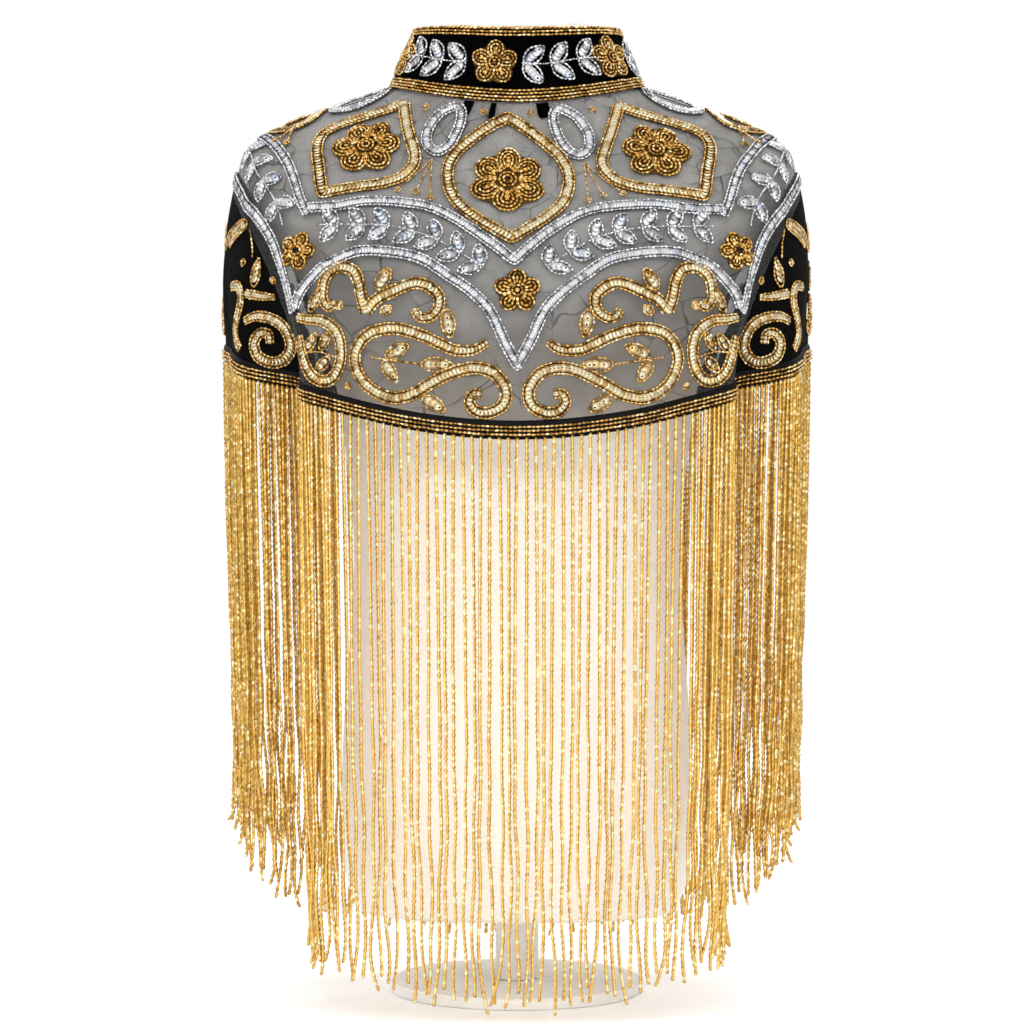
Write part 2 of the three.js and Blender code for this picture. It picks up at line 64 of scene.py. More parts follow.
MM = 0.001  # a millimetre in metres
PER_DEGREE = 2.5  # millimetres across the cloth for each degree of turn, on average
CUT_LENGTH = 255.0  # from the neck seam to the hem, along the cloth
CLOTH = 1.2  # thickness of the beaded net in the solid model
NET = 0.8  # thickness of the shown net
FORM_GAP = 0.45  # between the solid cloth and the shoulders that carry it
SEAM_GAP = 0.3  # between pieces that meet at a seam
HEM_HEIGHT = 12.0
GUSSET_TIP = 0.513  # share of the way down where a gusset's point is
GUSSET_ANGLE, GUSSET_REACH = 40.0, 0.055  # half the turn that it takes, and the share over which it opens
SLIT_LENGTH = 112.0
SQUARENESS = 2.4  # exponent of a ring's outline, which is 2 for an ellipse
TURN_STEP, SHARE_STEP = 0.4, 0.004  # over which the slopes of a surface are taken
SEAM_TURN = 0.08  # degrees left out on each side of an upright seam
SLIDE_TURN, SLIDE_LENGTH = 4.2, 150.0  # how far round the cloth has slid at the neck, and down to where
CREASE_POWER, CREASE_WAVES = 1.3, 0.85  # of the way along a crease, and half waves of the sine along it

# Rings of the worn surfaces: share of the way down, half width and the height at the side, depth and height
# at the centre front, depth and height at the centre back.
CAPE_RINGS = (
    (0.0, 88, 629, 66, 611, 58, 641),
    (0.12, 119, 619, 75, 584, 70, 613),
    (0.25, 150, 608, 89, 555, 84, 583),
    (0.37, 180, 594, 104, 529, 95, 554),
    (0.41, 188, 587.5, 109, 520, 98, 544),
    (0.47, 194, 573, 115, 506, 101, 529),
    (0.55, 199, 552, 122, 488, 104, 509),
    (0.63, 202, 531, 127, 469, 105, 489),
    (0.83, 204, 480, 131, 422, 105, 441),
    (1.0, 204, 440, 132, 383, 104, 399),
)
COLLAR_RINGS = (
    (0.0, 71, 670, 56, 664, 54, 688),
    (0.5, 80, 650, 61.5, 638, 56.5, 665),
    (1.0, 88, 629.8, 66, 611.8, 58, 641.8),
)
NECK_RINGS = (
    (0.0, 50.5, 674, 43, 674, 42, 674),
    (0.1, 53.5, 671, 46, 671, 45, 671),
    (0.4, 56, 658, 47.5, 647, 46.5, 662),
    (0.7, 65, 641, 51.5, 625, 48.5, 652),
    (1.0, 79, 629.5, 58, 611, 51, 640),
)
TORSO_RINGS = (
    (0.0, 188.5, 573, 112.4, 506, 98.4, 529),
    (0.07, 186, 557, 118, 492, 100.5, 513),
    (0.14, 177, 535, 122, 477, 101, 497),
    (0.22, 160, 509, 121, 461, 99, 477),
    (0.3, 143, 479, 115, 443, 95, 455),
    (0.38, 131, 445, 104, 425, 90, 429),
    (0.5, 122, 395, 93, 390, 85, 390),
    (0.64, 114, 315, 88, 315, 83, 315),
    (0.78, 117, 240, 92, 240, 88, 240),
    (0.9, 122, 160, 96, 160, 93, 160),
    (0.97, 120, 85, 93, 85, 91, 85),
    (1.0, 110, 58, 84, 58, 82, 58),
)

# Soft creases of the cloth: turn at the neck and at the hem, shares between which it grows and fades, width
# in degrees, and height in millimetres, which is below 0 for a trough.
CREASES = (
    (47, 43, 0.30, 1.0, 3.2, 2.6),
    (-49, -42, 0.34, 1.0, 2.8, 2.2),
    (30, 25, 0.52, 1.0, 3.6, 1.9),
    (-26, -29, 0.5, 1.0, 4.2, 2.3),
    (10, 14, 0.6, 1.0, 3.4, -1.8),
    (-13, -9, 0.56, 0.96, 3.0, -2.1),
    (61, 57, 0.14, 0.62, 4.0, 1.5),
    (-63, -60, 0.2, 0.66, 3.4, 1.8),
    (80, 84, 0.5, 1.0, 3.0, -2.4),
    (-83, -79, 0.54, 1.0, 3.2, 2.2),
    (101, 97, 0.5, 0.98, 3.4, 2.0),
    (-98, -102, 0.52, 1.0, 2.8, -2.2),
    (133, 138, 0.3, 1.0, 3.0, 2.4),
    (-131, -137, 0.32, 1.0, 3.4, 2.6),
    (152, 156, 0.55, 1.0, 3.8, 2.0),
    (-155, -150, 0.5, 1.0, 3.2, -1.9),
    (170, 166, 0.58, 0.98, 3.2, 1.7),
    (-168, -171, 0.6, 1.0, 3.6, 2.1),
    (118, 121, 0.18, 0.64, 3.6, 1.6),
    (-120, -117, 0.16, 0.6, 3.8, 1.4),
)


def smooth(share: Array) -> Array:
    """An S curve from 0 to 1: three t squared less two t cubed."""
    t = np.clip(share, 0.0, 1.0)
    return t * t * (3 - 2 * t)


def unit(vectors: Array) -> Array:
    """The vectors at length 1."""
    return vectors / np.maximum(np.linalg.norm(vectors, axis=-1, keepdims=True), 1e-9)


def level_part(vectors: Array, out: Array) -> Array:
    """The vectors less their parts along the outward directions."""
    return vectors - out * np.sum(vectors * out, axis=-1, keepdims=True)


def wrapped(turn: Array) -> Array:
    """Turns brought to between -180 and 180 degrees."""
    return (turn + 540) % 360 - 180


def summed(steps: Array) -> Array:
    """The sum of the steps before each place, from 0 to that of all."""
    return np.concatenate([[0], np.cumsum(steps)])


def run_length(points: Array) -> Array:
    """Length run at each point of a line, from its start."""
    return summed(np.linalg.norm(np.diff(points, axis=0), axis=-1))


def at_lengths(stops: Array, length: Array, points: Array) -> Array:
    """Where a line is at some lengths along it, on straight stretches between its points."""
    return np.stack([np.interp(stops, length, points[:, k]) for k in range(3)], axis=-1)


def circle(count: int) -> Array:
    """Angles in radians, equally spaced round a circle."""
    return np.arange(count) * 2 * np.pi / count


@dataclass(frozen=True)
class Worn:
    """A worn surface through rings.

    With S and C the sine and cosine of the turn, and a reach of (|S|^2.4 + |C|^2.4)^(-1/2.4), a point has x
    = half width times S times reach, y = minus the front or back depth times C times reach, and z = side
    height times S squared plus front or back height times C squared. The six sizes run through the rings'
    values on cubics. A folded surface is then drawn in towards the vertical axis by bell-shaped folds that
    grow towards the hem, and raised by its creases.
    """

    rings: tuple[tuple[float, ...], ...]
    length: float = 1.0  # along the cloth, from the first ring to the last
    folded: bool = False
    fold_turns: tuple[float, ...] = (50, 130)
    fold_from: float = 0.6  # share where the folds begin
    fold_depth: float = 25.0
    fold_width: float = 5.5
    flute_turns: tuple[float, ...] = (30, 76, 104, 150)
    flute_from: float = 0.7
    flute_depth: float = 5.0
    flute_width: float = 8.0

    def sizes(self, share: Array) -> Array:
        """The six sizes of the ring at each share, on cubics with slopes from the rows on both sides.

        Args:
            share: shares of the way down.

        Returns:
            An array with one more axis, of six sizes.
        """
        table = np.array(self.rings, dtype=float)
        shares, values = table[:, 0], table[:, 1:]
        order = np.arange(len(shares))
        after, before = np.minimum(order + 1, order[-1]), np.maximum(order - 1, 0)
        slopes = (values[after] - values[before]) / (shares[after] - shares[before])[:, None]
        i = np.clip(np.searchsorted(shares, share, side="left"), 1, order[-1])
        span = shares[i] - shares[i - 1]
        t = ((share - shares[i - 1]) / span)[..., None]
        reach = span[..., None]
        low, high = values[i - 1], values[i]
        return (
            (2 * t**3 - 3 * t**2 + 1) * low
            + (t**3 - 2 * t**2 + t) * reach * slopes[i - 1]
            + (3 * t**2 - 2 * t**3) * high
            + (t**3 - t**2) * reach * slopes[i]
        )

    def bells(self, turn: Array, places: tuple[float, ...], width: float) -> Array:
        """The sum of bells round some turns, the same on both sides of the centre front."""
        from_front = np.abs(wrapped(turn))
        return sum(np.exp(-(((from_front - place) / width) ** 2)) for place in places)

    def drawn(self, turn: Array, share: Array) -> Array:
        """How far folds and flutes draw the cloth in: bells over the turn, times S curves of the share."""
        folds = self.fold_depth * self.bells(turn, self.fold_turns, self.fold_width)
        flutes = self.flute_depth * self.bells(turn, self.flute_turns, self.flute_width)
        fold_growth = smooth((share - self.fold_from) / (1 - self.fold_from))
        flute_growth = smooth((share - self.flute_from) / (1 - self.flute_from))
        return folds * fold_growth + flutes * flute_growth

    def creased(self, turn: Array, share: Array) -> Array:
        """How far creases raise the cloth.

        For each, a bell across it times the square of a sine along it, which peaks two thirds of the way
        and then falls to a fifth.
        """
        raised = np.zeros_like(share)
        for top, bottom, start, end, width, height in CREASES:
            away = wrapped(turn - (top + (bottom - top) * share))
            along = np.clip((share - start) / (end - start), 0, 1)
            grown = np.sin(np.pi * along**CREASE_POWER * CREASE_WAVES) ** 2
            raised = raised + height * np.exp(-((away / width) ** 2)) * grown
        return raised

    def point(self, turn: Array, share: Array) -> Array:
        """Points of the surface.

        Args:
            turn: turns in degrees.
            share: shares of the way down, of the same shape or one that fits it.

        Returns:
            An array with one more axis, of x, y and z.
        """
        turn, share = np.broadcast_arrays(np.asarray(turn, float), np.asarray(share, float))
        half, side_z, front, front_z, back, back_z = np.moveaxis(self.sizes(share), -1, 0)
        s, c = np.sin(np.radians(turn)), np.cos(np.radians(turn))
        reach = (np.abs(s) ** SQUARENESS + np.abs(c) ** SQUARENESS) ** (-1 / SQUARENESS)
        x = half * s * reach
        y = -np.where(c >= 0, front, back) * c * reach
        z = side_z * s * s + np.where(c >= 0, front_z, back_z) * c * c
        if self.folded:
            scale = 1 + (self.creased(turn, share) - self.drawn(turn, share)) / np.hypot(x, y)
            x, y = x * scale, y * scale
        return np.stack([x, y, z], axis=-1)

    def normal(self, turn: Array, share: Array) -> Array:
        """The outward direction, the cross product of steps down and along."""
        share = np.asarray(share, float)
        low, high = np.maximum(share - SHARE_STEP, 0), np.minimum(share + SHARE_STEP, 1)
        along = self.point(turn + TURN_STEP, share) - self.point(turn - TURN_STEP, share)
        down = self.point(turn, high) - self.point(turn, low)
        return unit(np.cross(down, along))

    def moved_out(self, turn: Array, share: Array, out: Array | float) -> Array:
        """Points a distance out from the surface, along its normals."""
        shift = np.asarray(out, float)[..., None] if np.ndim(out) else out
        return self.point(turn, share) + self.normal(turn, share) * shift

    def beside(self, turn: float, share: float, across: Array, down: Array) -> tuple[Array, Array]:
        """Places that lie some millimetres across and down from a seat, by the surface's slopes at the seat.

        Args:
            turn: the seat's turn.
            share: the seat's share.
            across: millimetres towards increasing turn.
            down: millimetres down the cloth.

        Returns:
            Their turns and shares.
        """
        seat = self.point(turn, share)
        along_turn = (self.point(turn + TURN_STEP, share) - seat) / TURN_STEP
        along_share = (self.point(turn, share + SHARE_STEP) - seat) / SHARE_STEP
        u = unit(along_turn)
        w = np.cross(u, self.normal(turn, share))
        shares = down / (along_share @ w)
        turns = (across - shares * (along_share @ u)) / np.linalg.norm(along_turn)
        return turn + turns, share + shares


CAPE = Worn(CAPE_RINGS, CUT_LENGTH, folded=True)
COLLAR = Worn(COLLAR_RINGS, 47.0)


def panel_edge(share: Array) -> Array:
    """Turn of the front panel's edge: 90 above a gusset's point, then an exponential towards 50."""
    below = np.maximum(np.asarray(share, float) - GUSSET_TIP, 0)
    return 90 - GUSSET_ANGLE * (1 - np.exp(-below / GUSSET_REACH))


def seam_turn(share: Array) -> Array:
    """Degrees left out beside a seam, more where the seam lies across the cloth: a slope's hypotenuse."""
    below = np.asarray(share, float) - GUSSET_TIP
    steep = np.where(below > 0, GUSSET_ANGLE / GUSSET_REACH * np.exp(-below / GUSSET_REACH), 0.0)
    return SEAM_TURN * np.hypot(1, steep * PER_DEGREE / CUT_LENGTH)


def slid(turn: Array, down: Array) -> Array:
    """The turn of a sewn place on the worn cloth, which has slid towards -X, and less and less further down.

    The slide is 4.2 degrees at the centre front and back and falls to none at the sides, as the cosine of
    the turn.
    """
    return turn - SLIDE_TURN * np.cos(np.radians(turn)) * np.clip(1 - down / SLIDE_LENGTH, 0, 1)


def flat_places(turn: Array, share: Array) -> Array:
    """Where places of the worn cloth lie on the flat cloth, in millimetres."""
    return np.stack([turn * PER_DEGREE, share * CUT_LENGTH], axis=-1)


class Sector(Enum):
    """A cut panel of the cloth, with its name and the turn of its middle."""

    FRONT = ("front", 0.0)
    BACK = ("back", 180.0)
    RIGHT = ("right_side", 90.0)
    LEFT = ("left_side", 270.0)

    @property
    def side(self) -> bool:
        """True for the two gussets over the arms, drawn as opaque black net: painted shade of the hollow
        behind, where the form has no arms.
        """
        return self in (Sector.RIGHT, Sector.LEFT)

    def reach(self, share: Array) -> Array:
        """Half the turn that the panel takes at each share."""
        edge = 90 - panel_edge(share) if self.side else panel_edge(share)
        return edge - seam_turn(share)

    def turns(self, share: Array, places: int) -> Array:
        """Turns from one edge to the other at each share, equally spaced, one row for each share."""
        step = np.linspace(-1, 1, places)
        return self.value[1] + self.reach(share)[:, None] * step


class Quarter(Enum):
    """A quarter of the cloth that repeats the motifs: the turn that they count from, and which way."""

    FRONT_RIGHT = (0, 1)
    FRONT_LEFT = (0, -1)
    BACK_RIGHT = (180, -1)
    BACK_LEFT = (180, 1)

    def turned(self, turn: Array) -> Array:
        """Turns of the quarter for turns of the front right one."""
        return self.value[0] + self.value[1] * np.asarray(turn, float)


# Meshes


@dataclass
class Skin:
    """Vertices and faces on the way to a mesh, with a value for each vertex, one for each face and a map."""

    points: Array
    corners: Array  # vertex numbers of all faces, one after another
    counts: Array  # corners of each face
    tone: Array | None = None  # for each face
    centre: Array | None = None  # for each vertex
    places: Array | None = None  # for each vertex, where it lies on the flat cloth, in millimetres

    def made(self, name: str, material: Material, rounded: bool = True) -> Piece:
        """A Blender object of this skin, at the origin.

        Args:
            name: the piece's name.
            material: its finish.
            rounded: True for smooth shading.

        Returns:
            The object, linked to the scene.
        """
        mesh = bpy.data.meshes.new(name)
        mesh.vertices.add(len(self.points))
        mesh.vertices.foreach_set("co", (self.points * MM).astype(np.float32).ravel())
        mesh.loops.add(len(self.corners))
        mesh.loops.foreach_set("vertex_index", self.corners.astype(np.int32))
        mesh.polygons.add(len(self.counts))
        mesh.polygons.foreach_set("loop_start", summed(self.counts)[:-1].astype(np.int32))
        mesh.polygons.foreach_set("use_smooth", np.full(len(self.counts), rounded))
        mesh.update(calc_edges=True)
        mesh.validate()
        for label, values, domain in (("tone", self.tone, "FACE"), ("centre", self.centre, "POINT")):
            if values is not None:
                layer = mesh.attributes.new(label, "FLOAT", domain)
                layer.data.foreach_set("value", values.astype(np.float32))
        if self.places is not None:
            layer = mesh.uv_layers.new(name="flat")
            layer.data.foreach_set("uv", (self.places[self.corners] * MM).astype(np.float32).ravel())
        mesh.materials.append(material)
        piece = bpy.data.objects.new(name, mesh)
        bpy.context.scene.collection.objects.link(piece)
        return piece


def joined(skins: list[Skin]) -> Skin:
    """Skins with flat places as one, their vertex numbers shifted one after another."""
    starts = summed([len(s.points) for s in skins])[:-1]
    return Skin(
        np.concatenate([s.points for s in skins]),
        np.concatenate([s.corners + start for s, start in zip(skins, starts)]),
        np.concatenate([s.counts for s in skins]),
        places=np.concatenate([s.places for s in skins]),
    )


def quads(a: Array, b: Array, c: Array, d: Array) -> Array:
    """Corner numbers of quadrilaterals, a row each."""
    return np.stack([a.ravel(), b.ravel(), c.ravel(), d.ravel()], axis=-1)


def closed_wall(outer: Array, inner: Array, places: Array | None = None, kept: Array | None = None) -> Skin:
    """A wall between two grids of points, closed along every edge of the cells that are kept.

    Rows run down and columns towards increasing turn, so the outer grid's faces point out. An edge with a
    kept cell on one side of it alone gets a face from the outer grid to the inner one.

    Args:
        outer: points of the outer face, rows by columns by 3.
        inner: points of the inner face.
        places: where each point of a grid lies on the flat cloth.
        kept: which cells there are, rows less one by columns less one, or None for all of them.

    Returns:
        The wall's skin.
    """
    rows, columns = outer.shape[:2]
    if kept is None:
        kept = np.ones((rows - 1, columns - 1), dtype=bool)
    size = rows * columns
    number = np.arange(size).reshape(rows, columns)
    cell = [number[:-1, :-1], number[1:, :-1], number[1:, 1:], number[:-1, 1:]]
    faces = [quads(*(n[kept] for n in cell)), quads(*(n[kept] + size for n in reversed(cell)))]
    padded = np.pad(kept, 1)
    across_top = padded[1:, 1:-1] & ~padded[:-1, 1:-1]  # a level edge with the cell below it alone
    across_foot = padded[:-1, 1:-1] & ~padded[1:, 1:-1]
    left_side = padded[1:-1, 1:] & ~padded[1:-1, :-1]
    right_side = padded[1:-1, :-1] & ~padded[1:-1, 1:]
    for mask, first, second in (
        (across_top, number[:, :-1], number[:, 1:]),
        (across_foot, number[:, 1:], number[:, :-1]),
        (left_side, number[1:], number[:-1]),
        (right_side, number[:-1], number[1:]),
    ):
        faces.append(quads(first[mask], second[mask], second[mask] + size, first[mask] + size))
    every = np.concatenate(faces)
    used, corners = np.unique(every.ravel(), return_inverse=True)
    points = np.concatenate([outer.reshape(-1, 3), inner.reshape(-1, 3)])[used]
    flat = None if places is None else np.concatenate([places.reshape(-1, 2)] * 2)[used]
    return Skin(points, corners, np.full(len(every), 4), places=flat)


def lofted(rings: Array, places: Array | None = None) -> Skin:
    """A closed body through rings of points that all turn one way, with a fan to the middle of each end ring.

    Args:
        rings: rings by points by 3, counter-clockwise from above when the rings run down.
        places: a flat place for each point, or None.

    Returns:
        The body's skin.
    """
    count, size = rings.shape[:2]
    number = np.arange(count * size).reshape(count, size)
    after = np.roll(number, -1, axis=1)
    walls = quads(number[:-1], number[1:], after[1:], after[:-1])
    first, last = count * size, count * size + 1
    top = np.stack([np.full(size, first), number[0], after[0]], axis=-1)
    foot = np.stack([np.full(size, last), after[-1], number[-1]], axis=-1)
    points = np.concatenate([rings.reshape(-1, 3), rings[0].mean(0)[None], rings[-1].mean(0)[None]])
    corners = np.concatenate([walls.ravel(), top.ravel(), foot.ravel()])
    counts = np.concatenate([np.full(len(walls), 4), np.full(2 * size, 3)])
    flat = None
    if places is not None:
        flat = np.concatenate([places.reshape(-1, 2), places[0].mean(0)[None], places[-1].mean(0)[None]])
    return Skin(points, corners, counts, places=flat)


@dataclass(frozen=True)
class Shape:
    """A small shape that is stamped many times: vertices along, across and out, and its faces."""

    points: Array
    corners: Array
    counts: Array
    centre: Array | None = None

    @staticmethod
    def bead(sides: int = 4, end: float = 0.66) -> Shape:
        """A cut bead: a ring of radius 1 round its thread and a smaller one at each end, closed by a face."""
        angle = circle(sides)
        rings = [
            np.stack([np.full(sides, x), radius * np.cos(angle), radius * np.sin(angle)], axis=-1)
            for x, radius in ((-1, end), (0, 1), (1, end))
        ]
        number = np.arange(3 * sides).reshape(3, sides)
        after = np.roll(number, -1, axis=1)
        walls = quads(number[:-1], after[:-1], after[1:], number[1:])
        corners = np.concatenate([walls.ravel(), number[0][::-1], number[2]])
        counts = np.concatenate([np.full(len(walls), 4), [sides, sides]])
        return Shape(np.concatenate(rings), corners, counts)

    @staticmethod
    def sequin(sides: int = 8, rise: float = 0.07, depth: float = 0.08) -> Shape:
        """A thin disc: a rim of radius 1, a middle a little above it and one a little below."""
        angle = circle(sides)
        rim = np.stack([np.cos(angle), np.sin(angle), np.zeros(sides)], axis=-1)
        number = np.arange(sides)
        after = np.roll(number, -1)
        top = np.stack([np.full(sides, sides), number, after], axis=-1)
        foot = np.stack([np.full(sides, sides + 1), after, number], axis=-1)
        points = np.concatenate([rim, [[0, 0, rise], [0, 0, -depth]]])
        centre = np.concatenate([np.zeros(sides), [1, 1]])
        return Shape(points, np.concatenate([top.ravel(), foot.ravel()]), np.full(2 * sides, 3), centre)


@dataclass
class Seats:
    """Places for small shapes: where each is, and its directions along, across and out, all of length 1."""

    at: Array
    along: Array
    across: Array
    out: Array

    def tilted(self, angle: float) -> Seats:
        """The seats turned about their across direction, so that each shape lifts its leading edge."""
        c, s = np.cos(np.radians(angle)), np.sin(np.radians(angle))
        return Seats(self.at, self.along * c + self.out * s, self.across, self.out * c - self.along * s)

    def stamped(self, shape: Shape, size: Array, tone: Array) -> Skin:
        """The shape at every seat: each vertex is its seat's place plus its three parts along the directions.

        Args:
            shape: what is stamped.
            size: for each seat, its scale along, across and out.
            tone: for each seat, a value from 0 to 1 that its faces carry.

        Returns:
            One skin of all of them.
        """
        count, each = len(self.at), len(shape.points)
        axes = np.stack([self.along, self.across, self.out], axis=1) * size[:, :, None]
        points = self.at[:, None, :] + np.einsum("vk,nkc->nvc", shape.points, axes)
        corners = shape.corners[None, :] + (np.arange(count) * each)[:, None]
        return Skin(
            points.reshape(-1, 3),
            corners.ravel(),
            np.tile(shape.counts, count),
            np.repeat(tone, len(shape.counts)),
            None if shape.centre is None else np.tile(shape.centre, count),
        )


def gathered(seats: list[Seats]) -> Seats:
    """Several lists of seats as one."""
    parts = zip(*((s.at, s.along, s.across, s.out) for s in seats))
    return Seats(*(np.concatenate(part) for part in parts))


def spline(run: Array, steps: int = 10) -> Array:
    """A Catmull-Rom line through places.

    Between places b and c, with a before and d after them, a point is half of
    2b + (c - a)t + (2a - 5b + 4c - d)t^2 + (3b - a - 3c + d)t^3.

    Args:
        run: places, a row each.
        steps: points for each stretch between two places.

    Returns:
        Points along the line, its first and last places among them.
    """
    run = np.asarray(run, float)
    order = np.arange(len(run) - 1)
    a, b = run[np.maximum(order - 1, 0)], run[order]
    c, d = run[order + 1], run[np.minimum(order + 2, len(run) - 1)]
    t = (np.arange(steps) / steps)[:, None, None]
    line = 0.5 * (2 * b + (c - a) * t + (2 * a - 5 * b + 4 * c - d) * t**2 + (3 * b - a - 3 * c + d) * t**3)
    return np.concatenate([line.transpose(1, 0, 2).reshape(-1, run.shape[1]), run[-1:]])


@dataclass
class Line:
    """A line on a worn surface, as turns and shares close together."""

    surface: Worn
    turn: Array
    share: Array
    closed: bool = False

    def __post_init__(self) -> None:
        """Works out the directions at each point of the line."""
        self.point = self.surface.point(self.turn, self.share)
        self.out = self.surface.normal(self.turn, self.share)
        if self.closed:
            step = np.roll(self.point, -1, axis=0) - np.roll(self.point, 1, axis=0)
        else:
            step = np.gradient(self.point, axis=0)
        self.along = unit(level_part(step, self.out))
        self.across = np.cross(self.out, self.along)

    def ran(self) -> Array:
        """Length run at each point, from the line's start."""
        return run_length(self.point)

    def ended(self, parts: list[Array]) -> list[Array]:
        """Values along the line, with the first one again at the end where the line is closed."""
        return [np.concatenate([part, part[:1]]) for part in parts] if self.closed else parts

    def seats(self, pitch: float, side: Array | float = 0.0, lift: Array | float = 0.0) -> Seats:
        """Seats a pitch apart along a line that runs beside this one.

        The line is moved across by side and out by lift, its length is summed, and the seats stand in the
        middle of equal parts of it.

        Args:
            pitch: about how far apart the seats are.
            side: how far to the side, one value or one for each point.
            lift: how far out of the surface.

        Returns:
            The seats.
        """
        side = np.broadcast_to(side, len(self.turn))[:, None]
        lift = np.broadcast_to(lift, len(self.turn))[:, None]
        line = self.point + self.across * side + self.out * lift
        parts = self.ended([line, self.along, self.out])
        length = run_length(parts[0])
        count = max(2, int(round(length[-1] / pitch)))
        stops = (np.arange(count) + 0.5) * length[-1] / count
        at, along, out = (at_lengths(stops, length, part) for part in parts)
        out = unit(out)
        along = unit(level_part(along, out))
        return Seats(at, along, np.cross(out, along), out)


# Finishes


class Graph:
    """Adds nodes to one node tree and joins them."""

    def __init__(self, tree: Tree) -> None:
        """Takes the tree, and empties it."""
        self.tree = tree
        tree.nodes.clear()

    def node(self, kind: str, **settings: Any) -> bpy.types.Node:
        """A new node with some of its settings changed."""
        node = self.tree.nodes.new(kind)
        for name, value in settings.items():
            setattr(node, name, value)
        return node

    def put(self, socket: Socket, value: Any) -> None:
        """Joins a socket to another socket, or sets its own value."""
        if isinstance(value, Socket):
            self.tree.links.new(value, socket)
        else:
            socket.default_value = value

    def math(self, operation: str, *values: Any) -> Socket:
        """The result of a Math node on sockets or numbers."""
        node = self.node("ShaderNodeMath", operation=operation)
        for socket, value in zip(node.inputs, values):
            self.put(socket, value)
        return node.outputs[0]

    def mixed(self, factor: Any, a: Any, b: Any) -> Socket:
        """A colour between two colours, at the sockets of a Mix node that are for colours."""
        node = self.node("ShaderNodeMix", data_type="RGBA")
        for socket, value in zip((node.inputs[0], node.inputs[6], node.inputs[7]), (factor, a, b)):
            self.put(socket, value)
        return node.outputs[2]

    def ranged(self, value: Any, low: Any, high: Any, to_low: Any = 0.0, to_high: Any = 1.0) -> Socket:
        """A value carried smoothly from one range to another, and held at its ends."""
        node = self.node("ShaderNodeMapRange", interpolation_type="SMOOTHSTEP")
        for socket, number in zip(node.inputs, (value, low, high, to_low, to_high)):
            self.put(socket, number)
        return node.outputs[0]

    def noise(self, vector: Any, scale: Any, detail: float = 2.0) -> Socket:
        """The value of a noise pattern."""
        node = self.node("ShaderNodeTexNoise")
        self.put(node.inputs["Vector"], vector)
        self.put(node.inputs["Scale"], scale)
        node.inputs["Detail"].default_value = detail
        return node.outputs[0]

    def bump(self, height: Any, strength: float, distance: float) -> Socket:
        """The normal of a Bump node."""
        node = self.node("ShaderNodeBump")
        node.inputs["Strength"].default_value = strength
        node.inputs["Distance"].default_value = distance
        self.put(node.inputs["Height"], height)
        return node.outputs[0]

    def grouped(self, group: Tree, **values: Any) -> bpy.types.Node:
        """A node group with values at its inputs."""
        node = self.node("ShaderNodeGroup", node_tree=group)
        for name, value in values.items():
            self.put(node.inputs[name], value)
        return node


def new_group(name: str, inputs: dict[str, str], outputs: dict[str, str]) -> tuple[Tree, Graph, Any, Any]:
    """A node group with named sockets, and a graph to fill it.

    Args:
        name: the group's name.
        inputs: for each input, its kind of socket.
        outputs: for each output, its kind.

    Returns:
        The group, its graph, the sockets that give its inputs and those that take its outputs.
    """
    group = bpy.data.node_groups.new(name, "ShaderNodeTree")
    graph = Graph(group)
    for way, sockets in (("INPUT", inputs), ("OUTPUT", outputs)):
        for socket, kind in sockets.items():
            group.interface.new_socket(socket, in_out=way, socket_type=kind)
    given, made = graph.node("NodeGroupInput"), graph.node("NodeGroupOutput")
    return group, graph, given.outputs, made.inputs


COLOUR, NUMBER, VECTOR = "NodeSocketColor", "NodeSocketFloat", "NodeSocketVector"


